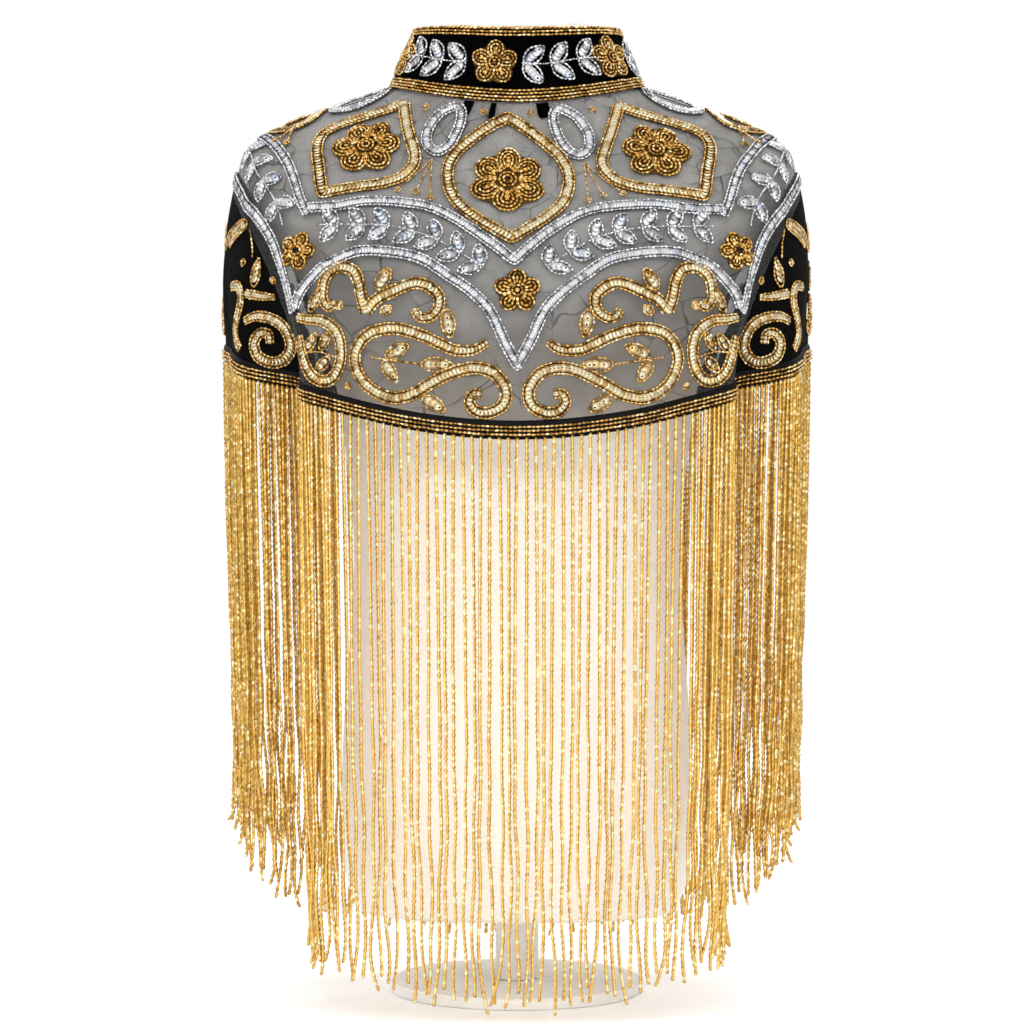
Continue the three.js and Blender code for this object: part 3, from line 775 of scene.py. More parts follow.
class Effects:
    """Node groups that several finishes share."""

    MIDDLE_AT, LIGHT_FROM = 0.5, 0.55  # tones where the middle colour is reached and the light one begins
    SWING = 7.31  # how often roughness runs through its range as the tone goes from 0 to 1
    FINER, FINE_PART = 6.0, 0.35  # the finer of two noises: how much finer, and its part in their sum
    NOISE_LOW, NOISE_HIGH = 0.3, 0.7  # between which most of a noise lies

    def __init__(self) -> None:
        """Builds each group once."""
        self.spread = self.tone_spread()
        self.weave = self.thread_weave()
        self.drift = self.slow_drift()

    def tone_spread(self) -> Tree:
        """From a piece's tone: a colour from dark over middle to light, and a roughness that goes with it."""
        group, g, given, made = new_group(
            "tone_spread",
            {"Tone": NUMBER, "Low": NUMBER, "High": NUMBER,
             "Dark": COLOUR, "Middle": COLOUR, "Light": COLOUR},
            {"Colour": COLOUR, "Roughness": NUMBER},
        )
        tone = given["Tone"]
        low = g.mixed(g.ranged(tone, 0.0, self.MIDDLE_AT), given["Dark"], given["Middle"])
        colour = g.mixed(g.ranged(tone, self.LIGHT_FROM, 1.0), low, given["Light"])
        swing = g.math("FRACT", g.math("MULTIPLY", tone, self.SWING))
        span = g.math("SUBTRACT", given["High"], given["Low"])
        g.put(made["Colour"], colour)
        g.put(made["Roughness"], g.math("MULTIPLY_ADD", swing, span, given["Low"]))
        return group

    def thread_weave(self) -> Tree:
        """Threads in two directions: where they run and their height, from the smaller of two waves."""
        group, g, given, made = new_group(
            "thread_weave",
            {"Vector": VECTOR, "Threads": NUMBER, "Width": NUMBER},
            {"Thread": NUMBER, "Height": NUMBER},
        )
        split = g.node("ShaderNodeSeparateXYZ")
        g.put(split.inputs[0], given["Vector"])
        rate = g.math("MULTIPLY", given["Threads"], np.pi)
        lean = g.math("ADD", split.outputs[0], split.outputs[1])
        other = g.math("SUBTRACT", split.outputs[0], split.outputs[1])
        crests = [g.math("ABSOLUTE", g.math("SINE", g.math("MULTIPLY", way, rate))) for way in (lean, other)]
        valley = g.math("MINIMUM", *crests)
        thread_and_shade_piece = g.ranged(valley, 0.0, given["Width"], 1.0, 0.0)
        g.put(made["Thread"], thread_and_shade_piece)
        g.put(made["Height"], g.math("SUBTRACT", 1.0, valley))
        return group

    def slow_drift(self) -> Tree:
        """A slow change over the surface, from two noises, between two numbers."""
        group, g, given, made = new_group(
            "slow_drift",
            {"Vector": VECTOR, "Scale": NUMBER, "Low": NUMBER, "High": NUMBER},
            {"Value": NUMBER},
        )
        wide = g.noise(given["Vector"], given["Scale"])
        fine = g.noise(given["Vector"], g.math("MULTIPLY", given["Scale"], self.FINER))
        rest = g.math("MULTIPLY", wide, 1 - self.FINE_PART)
        both = g.math("MULTIPLY_ADD", fine, self.FINE_PART, rest)
        g.put(made["Value"], g.ranged(both, self.NOISE_LOW, self.NOISE_HIGH, given["Low"], given["High"]))
        return group


def linear(red: int, green: int, blue: int) -> tuple[float, float, float, float]:
    """A colour on screen, 0 to 255, as linear light: a small part over 12.92, others to the power 2.4."""
    parts = np.array([red, green, blue]) / 255
    light = np.where(parts <= 0.04045, parts / 12.92, ((parts + 0.055) / 1.055) ** 2.4)
    return (*(float(part) for part in light), 1.0)


def new_material(name: str) -> tuple[Material, Graph, bpy.types.Node]:
    """A material with a Principled BSDF joined to its output.

    Args:
        name: the material's name.

    Returns:
        The material, its graph and the shader.
    """
    material = bpy.data.materials.new(name)
    material.use_nodes = True
    graph = Graph(material.node_tree)
    shader, output = graph.node("ShaderNodeBsdfPrincipled"), graph.node("ShaderNodeOutputMaterial")
    graph.put(output.inputs["Surface"], shader.outputs["BSDF"])
    return material, graph, shader


@dataclass(frozen=True)
class BeadFinish:
    """Metal-lined glass beads that differ a little from one to the next."""

    name: str
    dark: Shade
    middle: Shade
    light: Shade
    metallic: float = 0.9
    low: float = 0.16
    high: float = 0.42
    flaw_scale: float = 1400.0
    flaw: float = 0.35

    def material(self, effects: Effects) -> Material:
        """Colour and roughness by each bead's tone, with small flaws in the glass."""
        material, g, shader = new_material(self.name)
        tone = g.node("ShaderNodeAttribute", attribute_name="tone").outputs["Fac"]
        spread = g.grouped(
            effects.spread,
            Tone=tone,
            Dark=linear(*self.dark),
            Middle=linear(*self.middle),
            Light=linear(*self.light),
            Low=self.low,
            High=self.high,
        )
        place = g.node("ShaderNodeTexCoord").outputs["Object"]
        g.put(shader.inputs["Base Color"], spread.outputs["Colour"])
        g.put(shader.inputs["Roughness"], spread.outputs["Roughness"])
        shader.inputs["Metallic"].default_value = self.metallic
        g.put(shader.inputs["Normal"], g.bump(g.noise(place, self.flaw_scale), self.flaw, 0.3 * MM))
        return material


@dataclass(frozen=True)
class SequinFinish:
    """Foil sequins, dark at the hole that each is sewn through, some with a flash of another colour."""

    name: str
    dark: Shade
    light: Shade
    flash: Shade
    flashing: float = 0.9  # tone above which a sequin flashes
    metallic: float = 0.85
    rough: tuple[float, float] = (0.18, 0.36)
    hole: Shade = (38, 28, 18)
    hole_from: float = 0.72  # of the way from the rim to the middle
    rim_to: float = 0.14
    rings: float = 26.0  # radians of the ring marks from the rim to the middle

    def material(self, effects: Effects) -> Material:
        """Colour by tone, ring marks and the hole from the distance to the middle."""
        material, g, shader = new_material(self.name)
        tone = g.node("ShaderNodeAttribute", attribute_name="tone").outputs["Fac"]
        centre = g.node("ShaderNodeAttribute", attribute_name="centre").outputs["Fac"]
        spread = g.grouped(
            effects.spread,
            Tone=tone,
            Dark=linear(*self.dark),
            Middle=linear(*self.light),
            Light=linear(*self.light),
            Low=self.rough[0],
            High=self.rough[1],
        )
        flash = g.ranged(tone, self.flashing, self.flashing + 0.04)
        lit = g.mixed(g.math("MULTIPLY", flash, 0.7), spread.outputs["Colour"], linear(*self.flash))
        rim = g.ranged(centre, 0.0, self.rim_to, 0.55, 0.0)
        edged = g.mixed(rim, lit, linear(*self.dark))
        hole = g.ranged(centre, self.hole_from, self.hole_from + 0.08)
        g.put(shader.inputs["Base Color"], g.mixed(hole, edged, linear(*self.hole)))
        g.put(shader.inputs["Roughness"], spread.outputs["Roughness"])
        shader.inputs["Metallic"].default_value = self.metallic
        rings = g.math("SINE", g.math("MULTIPLY", centre, self.rings))
        g.put(shader.inputs["Normal"], g.bump(rings, 0.25, 0.1 * MM))
        return material


@dataclass(frozen=True)
class NetFinish:
    """Sheer black tulle: fine threads crossed on the bias, closer in places, with fine crumple lines that are
    denser and darkened by painted shade.
    """

    name: str = "sheer_black_net"
    open_cover: float = 0.25
    thread_cover: float = 0.5
    threads: float = 620.0  # a metre
    drift_scale: float = 26.0
    wander_scale: float = 30.0
    wander: float = 0.03  # metres by which the crumpled cells are bent
    cell_scale: float = 52.0
    patch_scale: float = 17.0
    crumple_and_shade: float = 0.25  # cover that a crumple line adds; it also sets the line's painted shade
    thread_and_crease_shade: tuple[Shade, Shade] = ((44, 43, 44), (10, 10, 11))  # of the threads, and the painted shade of a crumple line

    def material(self, effects: Effects) -> Material:
        """The cover of the cloth is its alpha: threads, a slow drift, and lines between crumpled cells, which
        also darken the colour as painted shade.
        """
        material, g, shader = new_material(self.name)
        flat = g.node("ShaderNodeUVMap", uv_map="flat").outputs[0]
        weave = g.grouped(effects.weave, Vector=flat, Threads=self.threads, Width=0.5)
        cover = g.ranged(weave.outputs["Thread"], 0.0, 1.0, self.open_cover, self.thread_cover)
        drift = g.grouped(effects.drift, Vector=flat, Scale=self.drift_scale, Low=-0.045, High=0.05)
        cells = g.node("ShaderNodeTexVoronoi", feature="DISTANCE_TO_EDGE")
        warp = g.node("ShaderNodeVectorMath", operation="MULTIPLY_ADD")
        wander = g.node("ShaderNodeTexNoise")
        g.put(wander.inputs["Vector"], flat)
        wander.inputs["Scale"].default_value = self.wander_scale
        g.put(warp.inputs[0], wander.outputs["Color"])
        warp.inputs[1].default_value = (self.wander, self.wander, 0.0)
        g.put(warp.inputs[2], flat)
        g.put(cells.inputs["Vector"], warp.outputs[0])
        cells.inputs["Scale"].default_value = self.cell_scale
        line = g.ranged(cells.outputs["Distance"], 0.0, 0.035, 1.0, 0.0)
        where = g.ranged(g.noise(flat, self.patch_scale), 0.44, 0.62)
        crumple_and_shade = g.math("MULTIPLY", g.math("MULTIPLY", line, where), self.crumple_and_shade)
        total = g.math("ADD", g.math("ADD", cover, drift.outputs["Value"]), crumple_and_shade)
        g.put(shader.inputs["Alpha"], total)
        # Crumple lines darken the colour towards the line's shade: painted shade in the creases.
        shade = g.mixed(g.math("MULTIPLY", crumple_and_shade, 2.5), *(linear(*each) for each in self.thread_and_crease_shade))
        g.put(shader.inputs["Base Color"], shade)
        shader.inputs["Roughness"].default_value = 0.75
        shader.inputs["Sheen Weight"].default_value = 0.15
        g.put(shader.inputs["Normal"], g.bump(weave.outputs["Height"], 0.2, 0.3 * MM))
        return material


@dataclass(frozen=True)
class ClothFinish:
    """A covering cloth: its colour from dark to light, weave, sheen and slow changes, with painted shade in
    the valleys of the weave.
    """

    name: str
    dark: Shade
    light: Shade
    threads: float
    roughness: tuple[float, float]
    sheen: float
    relief: float = 0.3
    pile: float = 0.0  # strength of a brushed pile
    gloss: float = 0.5  # specular level

    def material(self, effects: Effects) -> Material:
        """Weave in the normal, and in the colour as painted shade in its valleys; brushed patches where there
        is a pile.
        """
        material, g, shader = new_material(self.name)
        flat = g.node("ShaderNodeUVMap", uv_map="flat").outputs[0]
        weave = g.grouped(effects.weave, Vector=flat, Threads=self.threads, Width=0.7)
        drift = g.grouped(effects.drift, Vector=flat, Scale=22.0, Low=0.0, High=0.7)
        # Darker in the weave's valleys, painted shade, and lighter or darker by a slow random drift.
        weave_shade_and_tone = g.math("MULTIPLY_ADD", weave.outputs["Height"], 0.3, drift.outputs["Value"])
        g.put(shader.inputs["Base Color"], g.mixed(weave_shade_and_tone, linear(*self.dark), linear(*self.light)))
        rough = g.ranged(drift.outputs["Value"], 0.0, 0.7, *self.roughness)
        g.put(shader.inputs["Roughness"], rough)
        shader.inputs["Sheen Weight"].default_value = self.sheen
        shader.inputs["Sheen Roughness"].default_value = 0.4
        shader.inputs["Specular IOR Level"].default_value = self.gloss
        height = g.math("MULTIPLY_ADD", g.noise(flat, 900.0), self.pile, weave.outputs["Height"])
        g.put(shader.inputs["Normal"], g.bump(height, self.relief, 0.3 * MM))
        return material


@dataclass(frozen=True)
class PaintFinish:
    """Satin paint on turned metal: faint ripples and a little dust."""

    name: str = "white_satin_paint"
    light: Shade = (240, 238, 234)
    dull: Shade = (222, 219, 213)

    def material(self, effects: Effects) -> Material:
        """Colour, roughness and a fine ripple from noises at the object's own coordinates."""
        material, g, shader = new_material(self.name)
        place = g.node("ShaderNodeTexCoord").outputs["Object"]
        dust = g.grouped(effects.drift, Vector=place, Scale=18.0, Low=0.0, High=0.8)
        colour = g.mixed(dust.outputs["Value"], linear(*self.light), linear(*self.dull))
        g.put(shader.inputs["Base Color"], colour)
        g.put(shader.inputs["Roughness"], g.ranged(dust.outputs["Value"], 0.0, 0.8, 0.28, 0.46))
        g.put(shader.inputs["Normal"], g.bump(g.noise(place, 320.0), 0.08, 0.4 * MM))
        return material


@dataclass(frozen=True)
class Metal:
    """What beadwork is made of: beads, sequins and the dark thread under them, which also paints the shade
    between the beads, with their slots in the record.
    """

    beads: Material
    bead_slot: str
    foil: Material | None = None
    foil_slot: str = ""
    thread_and_shade: Material | None = None


class Finishes:
    """Every finish of the object, made once."""

    def __init__(self) -> None:
        """Builds the shared effects, then each material."""
        effects = Effects()
        gold, deep_gold, silver, self.gold_fringe = (
            BeadFinish(*row).material(effects)
            for row in (
                ("gold_beads", (128, 90, 36), (216, 172, 98), (255, 240, 196)),
                ("deep_gold_beads", (116, 80, 28), (212, 166, 86), (255, 234, 176)),
                ("silver_beads", (132, 132, 136), (212, 212, 215), (254, 254, 254)),
                ("gold_fringe", (182, 134, 50), (234, 190, 98), (255, 238, 178), 0.6, 0.2, 0.42),
            )
        )
        gold_foil, silver_foil = (
            SequinFinish(*row).material(effects)
            for row in (
                ("gold_sequins", (196, 160, 96), (252, 238, 198), (255, 220, 140)),
                ("silver_sequins", (168, 168, 172), (248, 248, 250), (190, 208, 240), 0.94),
            )
        )
        self.net = NetFinish().material(effects)
        # The side panels' net, drawn opaque and near black: painted shade of the hollow behind it, where the
        # form has no arms.
        self.black_net = ClothFinish(
            "black_net_painted_shade", (1, 1, 1), (14, 13, 12), 700.0, (0.6, 0.9), 0.0, gloss=0.03
        ).material(effects)
        self.velvet = ClothFinish(
            "black_velvet", (0, 0, 0), (8, 8, 9), 900.0, (0.85, 1.0), 0.01, 0.4, 2.0, gloss=0.0
        ).material(effects)
        self.satin = ClothFinish(
            "black_satin", (2, 2, 2), (14, 13, 12), 1100.0, (0.35, 0.55), 0.0, gloss=0.08
        ).material(effects)
        # The heading tape, and dark strips under the gold and silver work: their thread, and painted shade
        # between their beads.
        self.tape, gold_thread_and_shade, silver_thread_and_shade = (
            ClothFinish(name, dark, light, 1000.0, (0.7, 0.95), 0.0, gloss=0.1).material(effects)
            for name, dark, light in (
                ("black_tape", (3, 3, 3), (24, 21, 18)),
                ("brown_thread_backing", (30, 20, 8), (88, 64, 28)),
                ("grey_thread_backing", (30, 30, 32), (96, 96, 98)),
            )
        )
        self.jersey = ClothFinish(
            "ivory_jersey", (246, 242, 235), (252, 249, 244), 900.0, (0.7, 0.9), 0.05, 0.15
        ).material(effects)
        self.paint = PaintFinish().material(effects)
        self.gold = Metal(gold, "gold_beads", gold_foil, "gold_sequins", gold_thread_and_shade)
        self.deep_gold = Metal(deep_gold, "gold_beads", thread_and_shade=gold_thread_and_shade)
        self.silver = Metal(silver, "silver_sequins", silver_foil, "silver_sequins", silver_thread_and_shade)


def dressed(piece: Piece, slot: str, *nodes: str) -> Piece:
    """Gives a piece its body, and hides the solids that it stands for.

    Args:
        piece: the object.
        slot: the material slot of the record; not used.
        nodes: names of the solids that it replaces.

    Returns:
        The same object.
    """
    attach(piece, "root")
    if nodes:
        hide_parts(*nodes)
    LOG.info("%s: %d faces", piece.name, len(piece.data.polygons))
    return piece


# Sub-assemblies


@dataclass
class DressForm:
    """The limbless dress form: neck, shoulders that carry the cloth, and torso."""

    turns: int = 144
    steps: int = 4  # rings between two given ones
    neck: tuple[float, ...] = (0, 0.1, 0.25, 0.4, 0.55, 0.7, 0.85, 1)  # shares of the neck's rings
    shoulders: tuple[float, ...] = (0, 0.07, 0.14, 0.21, 0.28, 0.34, 0.39, 0.43)  # of the cloth on them
    inset: tuple[float, ...] = (0.35, 0.7, 0.93)  # of the rings that close the neck, as parts of its first
    per_degree: float = 2.2  # millimetres of jersey for each degree of turn

    def build(self, finishes: Finishes) -> Piece:
        """Lofts the given rings, with more between them on Catmull-Rom lines.

        Args:
            finishes: the object's materials.

        Returns:
            The piece.
        """
        turn = np.degrees(circle(self.turns))
        plain = Worn(CAPE_RINGS)
        neck = [Worn(NECK_RINGS).point(turn, share) for share in self.neck]
        shoulders = [plain.moved_out(turn, share, -(CLOTH + FORM_GAP)) for share in self.shoulders]
        torso = [Worn(TORSO_RINGS).point(turn, row[0]) for row in TORSO_RINGS]
        given = np.stack(neck + shoulders + torso)
        rings = spline(given.reshape(len(given), -1), self.steps).reshape(-1, self.turns, 3)
        inset = [rings[0] * (scale, scale, 1) for scale in self.inset]
        rings = np.concatenate([inset, rings])
        ran = summed(np.linalg.norm(np.diff(rings, axis=0), axis=-1).mean(1))
        places = np.stack(np.broadcast_arrays(turn[None, :] * self.per_degree, ran[:, None]), axis=-1)
        return dressed(lofted(rings, places).made("form_body", finishes.jersey), "form", "dress_form")


@dataclass
class Stand:
    """A turned post on a round base."""

    post_radius: float = 15.0
    base_radius: float = 88.0
    base_height: float = 8.0
    base_bevel: float = 2.0
    post_bevel: float = 0.8
    form_foot: float = 58.0
    base_sides: int = 120
    post_sides: int = 64
    arc_points: int = 7

    def turned(self, profile: Array, count: int) -> Skin:
        """A body of revolution: each profile point, a radius and a height, swept round the vertical axis."""
        angle = circle(count)
        radius, height = profile[:, 0, None], profile[:, 1, None]
        parts = np.broadcast_arrays(radius * np.cos(angle), radius * np.sin(angle), height)
        return lofted(np.stack(parts, axis=-1))

    def rounded(self, radius: float, low: float, high: float, bevel: float) -> Array:
        """A profile from the top down with its two edges rounded by quarter circles."""
        arc = np.radians(np.linspace(90, 0, self.arc_points))
        top = np.stack([radius - bevel + bevel * np.cos(arc), high - bevel + bevel * np.sin(arc)], axis=-1)
        foot = np.stack([top[::-1, 0], low + high - top[::-1, 1]], axis=-1)
        inner = np.array([[radius * 0.5, high], [radius - bevel * 1.5, high]])
        return np.concatenate([inner, top, foot, inner[::-1] * (1, 0) + (0, low)])

    def build(self, finishes: Finishes) -> None:
        """Makes the base and the post."""
        base = self.rounded(self.base_radius, 0, self.base_height, self.base_bevel)
        low, high = self.base_height + SEAM_GAP, self.form_foot - SEAM_GAP
        post = self.rounded(self.post_radius, low, high, self.post_bevel)
        dressed(self.turned(base, self.base_sides).made("base_plate", finishes.paint), "stand", "stand_base")
        dressed(self.turned(post, self.post_sides).made("post", finishes.paint), "stand", "stand_post")


@dataclass
class Panels:
    """The four cut panels of the cloth, as thin closed shells on the worn surface."""

    rows: int = 104
    columns: int = 160
    side_columns: int = 72
    tip: tuple[float, float] = (0.512, 0.5142)  # shares of the rows above and below a gusset's point
    dense_to: float = 0.6  # share down to where the rows are closer together
    dense_rows: int = 20
    wide_rows: int = 40
    slit_half: float = 0.35  # half the slit's width, in degrees

    def shares(self, sector: Sector) -> Array:
        """Shares of the rows, closer together where the gusset opens."""
        dense = np.linspace(self.tip[1], self.dense_to, self.dense_rows)
        lower = np.concatenate([dense, np.linspace(self.dense_to, 1, self.wide_rows)[1:]])
        if sector.side:
            return lower
        return np.concatenate([np.linspace(0, self.tip[0], self.rows - len(lower)), lower])

    def skin(self, sector: Sector) -> Skin:
        """The shell of a panel, with the slit left out of the back."""
        share = self.shares(sector)
        columns = self.side_columns if sector.side else self.columns
        turn = sector.turns(share, columns)
        kept = np.ones((len(share) - 1, columns - 1), dtype=bool)
        if sector is Sector.BACK:
            middle = columns // 2
            turn[:, middle - 1], turn[:, middle] = 180 - self.slit_half, 180 + self.slit_half
            kept[share[1:] * CUT_LENGTH < SLIT_LENGTH, middle - 1] = False
        share = np.broadcast_to(share[:, None], turn.shape)
        places = flat_places(turn, share)
        outer, inner = CAPE.point(turn, share), CAPE.moved_out(turn, share, -NET)
        return closed_wall(outer, inner, places, kept)

    def build(self, finishes: Finishes) -> dict[Sector, Piece]:
        """Makes each panel.

        Args:
            finishes: the object's materials.

        Returns:
            The pieces by sector.
        """
        made = {}
        for sector in Sector:
            name = sector.value[0]
            # Side panels get the opaque near-black net, painted shade of the armless hollow behind them.
            finish, slot = (finishes.black_net, "black_net") if sector.side else (finishes.net, "net")
            piece = self.skin(sector).made(name + "_net", finish)
            made[sector] = dressed(piece, slot, name + "_panel")
        return made


TAPER = 14.0  # length over which a ribbon comes to its full width
NARROWEST = 0.35  # least size of a ribbon's sequins, as a part of the full one
THREAD_SHADE_SIDES = (1.0, 0.6, -0.6, -1.0)  # corners of the dark strip under a ribbon, its thread and painted shade, across it, as parts of its half width
THREAD_SHADE_LIFTS = (0.18, 0.42, 0.42, 0.18)  # and how far they are out of the cloth
THREAD_SHADE_FOOT = 0.04


@dataclass
class Beadwork:
    """Beads and sequins of one region and metal, sewn along lines and gathered into two pieces, and a piece
    of dark thread under them that also paints the shade between the beads.
    """

    name: str
    surface: Worn
    seed: int
    bead_length: float = 1.35  # half of it
    bead_radius: float = 0.98
    pitch: float = 2.9
    half_width: float = 3.75  # from a ribbon's middle to each row of beads
    sequin_radius: float = 2.85
    sequin_pitch: float = 2.8
    thread_and_shade_strips: list[Skin] = field(default_factory=list)
    beads: list[Seats] = field(default_factory=list)
    bead_sizes: list[Array] = field(default_factory=list)
    sequins: list[Seats] = field(default_factory=list)
    sequin_sizes: list[Array] = field(default_factory=list)

    def place(self, turn: float, down: float) -> tuple[float, float]:
        """Turn and share of a sewn place."""
        return float(slid(turn, down)) if self.surface is CAPE else turn, down / self.surface.length

    def drawn(self, turn: Array, down: Array, closed: bool = False) -> Line:
        """A line through sewn places, as turns and millimetres down."""
        turn = slid(turn, down) if self.surface is CAPE else turn
        return Line(self.surface, turn, down / self.surface.length, closed)

    def row(self, line: Line, side: Array | float = 0.0, lift: float = 0.9, scale: float = 1.0) -> None:
        """A row of beads beside a line."""
        seats = line.seats(self.pitch * scale, side, lift)
        self.beads.append(seats)
        size = np.array([self.bead_length, self.bead_radius, self.bead_radius]) * scale
        self.bead_sizes.append(np.tile(size, (len(seats.at), 1)))

    def scales(self, line: Line, radius: Array | float, lift: float = 1.3, angle: float = 13.0) -> None:
        """Sequins that overlap along a line, each lifted over the one before it."""
        pitch = self.sequin_pitch * float(np.mean(radius)) / self.sequin_radius
        seats = line.seats(pitch, 0.0, lift).tilted(-angle)
        stops = np.linspace(0, 1, len(seats.at))
        width = np.interp(stops, np.linspace(0, 1, np.size(radius)), np.atleast_1d(radius))
        self.sequins.append(seats)
        self.sequin_sizes.append(np.stack([width, width, width * 0.8], axis=-1))

    def ribbon(self, line: Line, start: float = 1.0, end: float = 1.0) -> None:
        """Sequins between two rows of beads.

        Args:
            line: the ribbon's middle.
            start: how wide it is at its start, as a part of its full width.
            end: how wide it is at its end.
        """
        ran = line.ran()
        left = ran[-1] - ran
        grown = 1 - (1 - start) * np.exp(-ran / TAPER) - (1 - end) * np.exp(-left / TAPER)
        self.scales(line, self.sequin_radius * np.maximum(grown, NARROWEST))
        for side in (-1, 1):
            self.row(line, side * self.half_width * grown, 0.95)
        self.lay_thread_and_shade(line, (self.half_width + 0.55) * grown)

    def lay_thread_and_shade(self, line: Line, half: Array) -> None:
        """A strip of dark thread under a ribbon, which also paints the shade between its beads and sequins:
        low at both edges, higher in the middle, closed below.

        Args:
            line: the ribbon's middle.
            half: half of its width at each point.
        """
        parts = line.ended([line.point, line.across * half[:, None], line.out])
        last = len(parts[0]) - 1
        kept = np.append(np.arange(0, last, 2), last)
        point, across, out = (part[None, kept] for part in parts)
        side, lift = (np.array(each)[:, None, None] for each in (THREAD_SHADE_SIDES, THREAD_SHADE_LIFTS))
        outer, inner = point + across * side + out * lift, point + across * side + out * THREAD_SHADE_FOOT
        ran = kept * 1.5
        places = np.stack(np.broadcast_arrays(ran[None, :], side[..., 0] * 4), axis=-1)
        self.thread_and_shade_strips.append(closed_wall(outer, inner, places))

    def loop(
        self, turn: float, share: float, across: Array, down: Array, lift: float, closed: bool = True
    ) -> None:
        """A row of beads near a seat, given in millimetres across and down from it."""
        self.row(Line(self.surface, *self.surface.beside(turn, share, across, down), closed), 0.0, lift)

    def flower(self, turn: float, down: float, radius: float, petals: int) -> None:
        """Petals of nested loops, each round a straight row, about a middle of nested rings.

        The dark thread under it, which also paints the shade between its beads, is a disc with lobes: its
        radius is 0.8 of the flower's, and up to the whole of it at a petal's middle, by a cosine of the turn
        times half the petals, to the power 0.6.

        Args:
            turn: turn of the middle.
            down: millimetres down to the middle.
            radius: from the middle to a petal's tip.
            petals: how many.
        """
        seat = self.place(turn, down)
        spacing = self.bead_radius * 2 + 0.45
        bend = np.radians(np.linspace(-120, 120, 28))
        for k in range(petals):
            heading = 2 * np.pi * k / petals
            for i, ring in enumerate(np.arange(radius * 0.37, 0.8, -spacing)):
                foot = [radius * (0.24 + 0.05 * i)]
                far = np.concatenate([foot, radius * 0.63 + ring * np.cos(bend), foot])
                out = ring * 0.92 * np.concatenate([[-0.4], np.sin(bend), [0.4]])
                across = np.sin(heading) * far + np.cos(heading) * out
                down = np.sin(heading) * out - np.cos(heading) * far
                self.loop(*seat, across, down, 1.0 + 0.35 * i, False)
            core = np.linspace(radius * 0.36, radius * 0.66, 8)
            self.loop(*seat, np.sin(heading) * core, -np.cos(heading) * core, 1.7, False)
        angle = circle(40)
        for i, ring in enumerate(np.arange(radius * 0.22, 0.3, -spacing)):
            self.loop(*seat, ring * np.cos(angle), ring * np.sin(angle), 1.8 + 0.4 * i)
        lobes = radius * (0.8 + 0.2 * np.abs(np.cos(angle * petals / 2)) ** 0.6)
        rings = []
        for scale, lift in ((0.94, 0.6), (1.0, 0.35), (1.0, 0.05)):
            lobe = lobes * scale
            near = self.surface.beside(*seat, lobe * np.sin(angle), lobe * -np.cos(angle))
            rings.append(self.surface.moved_out(*near, lift))
        places = np.stack([lobes * np.sin(angle), lobes * np.cos(angle)], axis=-1)
        self.thread_and_shade_strips.append(lofted(np.stack(rings)[:, ::-1], np.stack([places] * 3)[:, ::-1]))

    def leaf(
        self, turn: float, share: float, heading: float, length: float, width: float, filled: int = 3
    ) -> None:
        """An almond outline of beads with sequins along its middle.

        Its half width is a sine, to the power 0.75, of half a turn times the way along to the power 0.9.

        Args:
            turn: turn of the stalk's end of the leaf.
            share: share of it.
            heading: degrees from across the cloth towards the neck.
            length: of the leaf.
            width: at its widest.
            filled: how many sequins it holds.
        """
        way = np.concatenate([np.linspace(0, 1, 14), np.linspace(1, 0, 14)[1:-1]])
        side = np.where(np.arange(len(way)) < 14, 1, -1) * width / 2 * np.sin(np.pi * way**0.9) ** 0.75
        c, s = np.cos(np.radians(heading)), np.sin(np.radians(heading))
        self.loop(turn, share, way * length * c + side * s, side * c - way * length * s, 0.9)
        if filled:
            ends = np.array([0.22, 0.84]) * length
            turns, shares = self.surface.beside(turn, share, ends * c, -ends * s)
            line = Line(self.surface, np.linspace(*turns, 8), np.linspace(*shares, 8))
            seats = line.seats(np.ptp(ends) / filled, 0.0, 1.2).tilted(-10)
            radius = min(width * 0.37, 3.3)
            self.sequins.append(seats)
            self.sequin_sizes.append(np.tile([radius * 1.15, radius, radius * 0.8], (len(seats.at), 1)))

    def rosette(self, turn: float, down: float, radius: float = 1.9) -> None:
        """A ring of beads with one on top."""
        turn, share = self.place(turn, down)
        angle = circle(16)
        self.loop(turn, share, radius * np.cos(angle), radius * np.sin(angle), 0.9)
        self.loop(turn, share, 0.7 * np.cos(angle), 0.7 * np.sin(angle), 2.0)

    def branch(
        self,
        stem: Line,
        headings: tuple[float, float],
        sizes: tuple[float, float],
        pairs: int,
        filled: int = 3,
    ) -> None:
        """A stem of small beads with pairs of leaves.

        Args:
            stem: its line.
            headings: how far the two leaves of a pair turn off the stem, in degrees.
            sizes: a leaf's length and width.
            pairs: how many pairs.
            filled: sequins in each leaf.
        """
        self.row(stem, 0.0, 0.8, 0.8)
        ran = stem.ran()
        for stop in (np.arange(pairs) + 0.1) / pairs * ran[-1]:
            k = int(np.searchsorted(ran, stop))
            step = self.surface.normal(stem.turn[k], stem.share[k])
            level = unit(self.surface.point(stem.turn[k] + TURN_STEP, stem.share[k]) - stem.point[k])
            low = np.cross(level, step)
            way = np.degrees(np.arctan2(-stem.along[k] @ low, stem.along[k] @ level))
            for heading in headings:
                self.leaf(stem.turn[k], stem.share[k], way + heading, *sizes, filled)

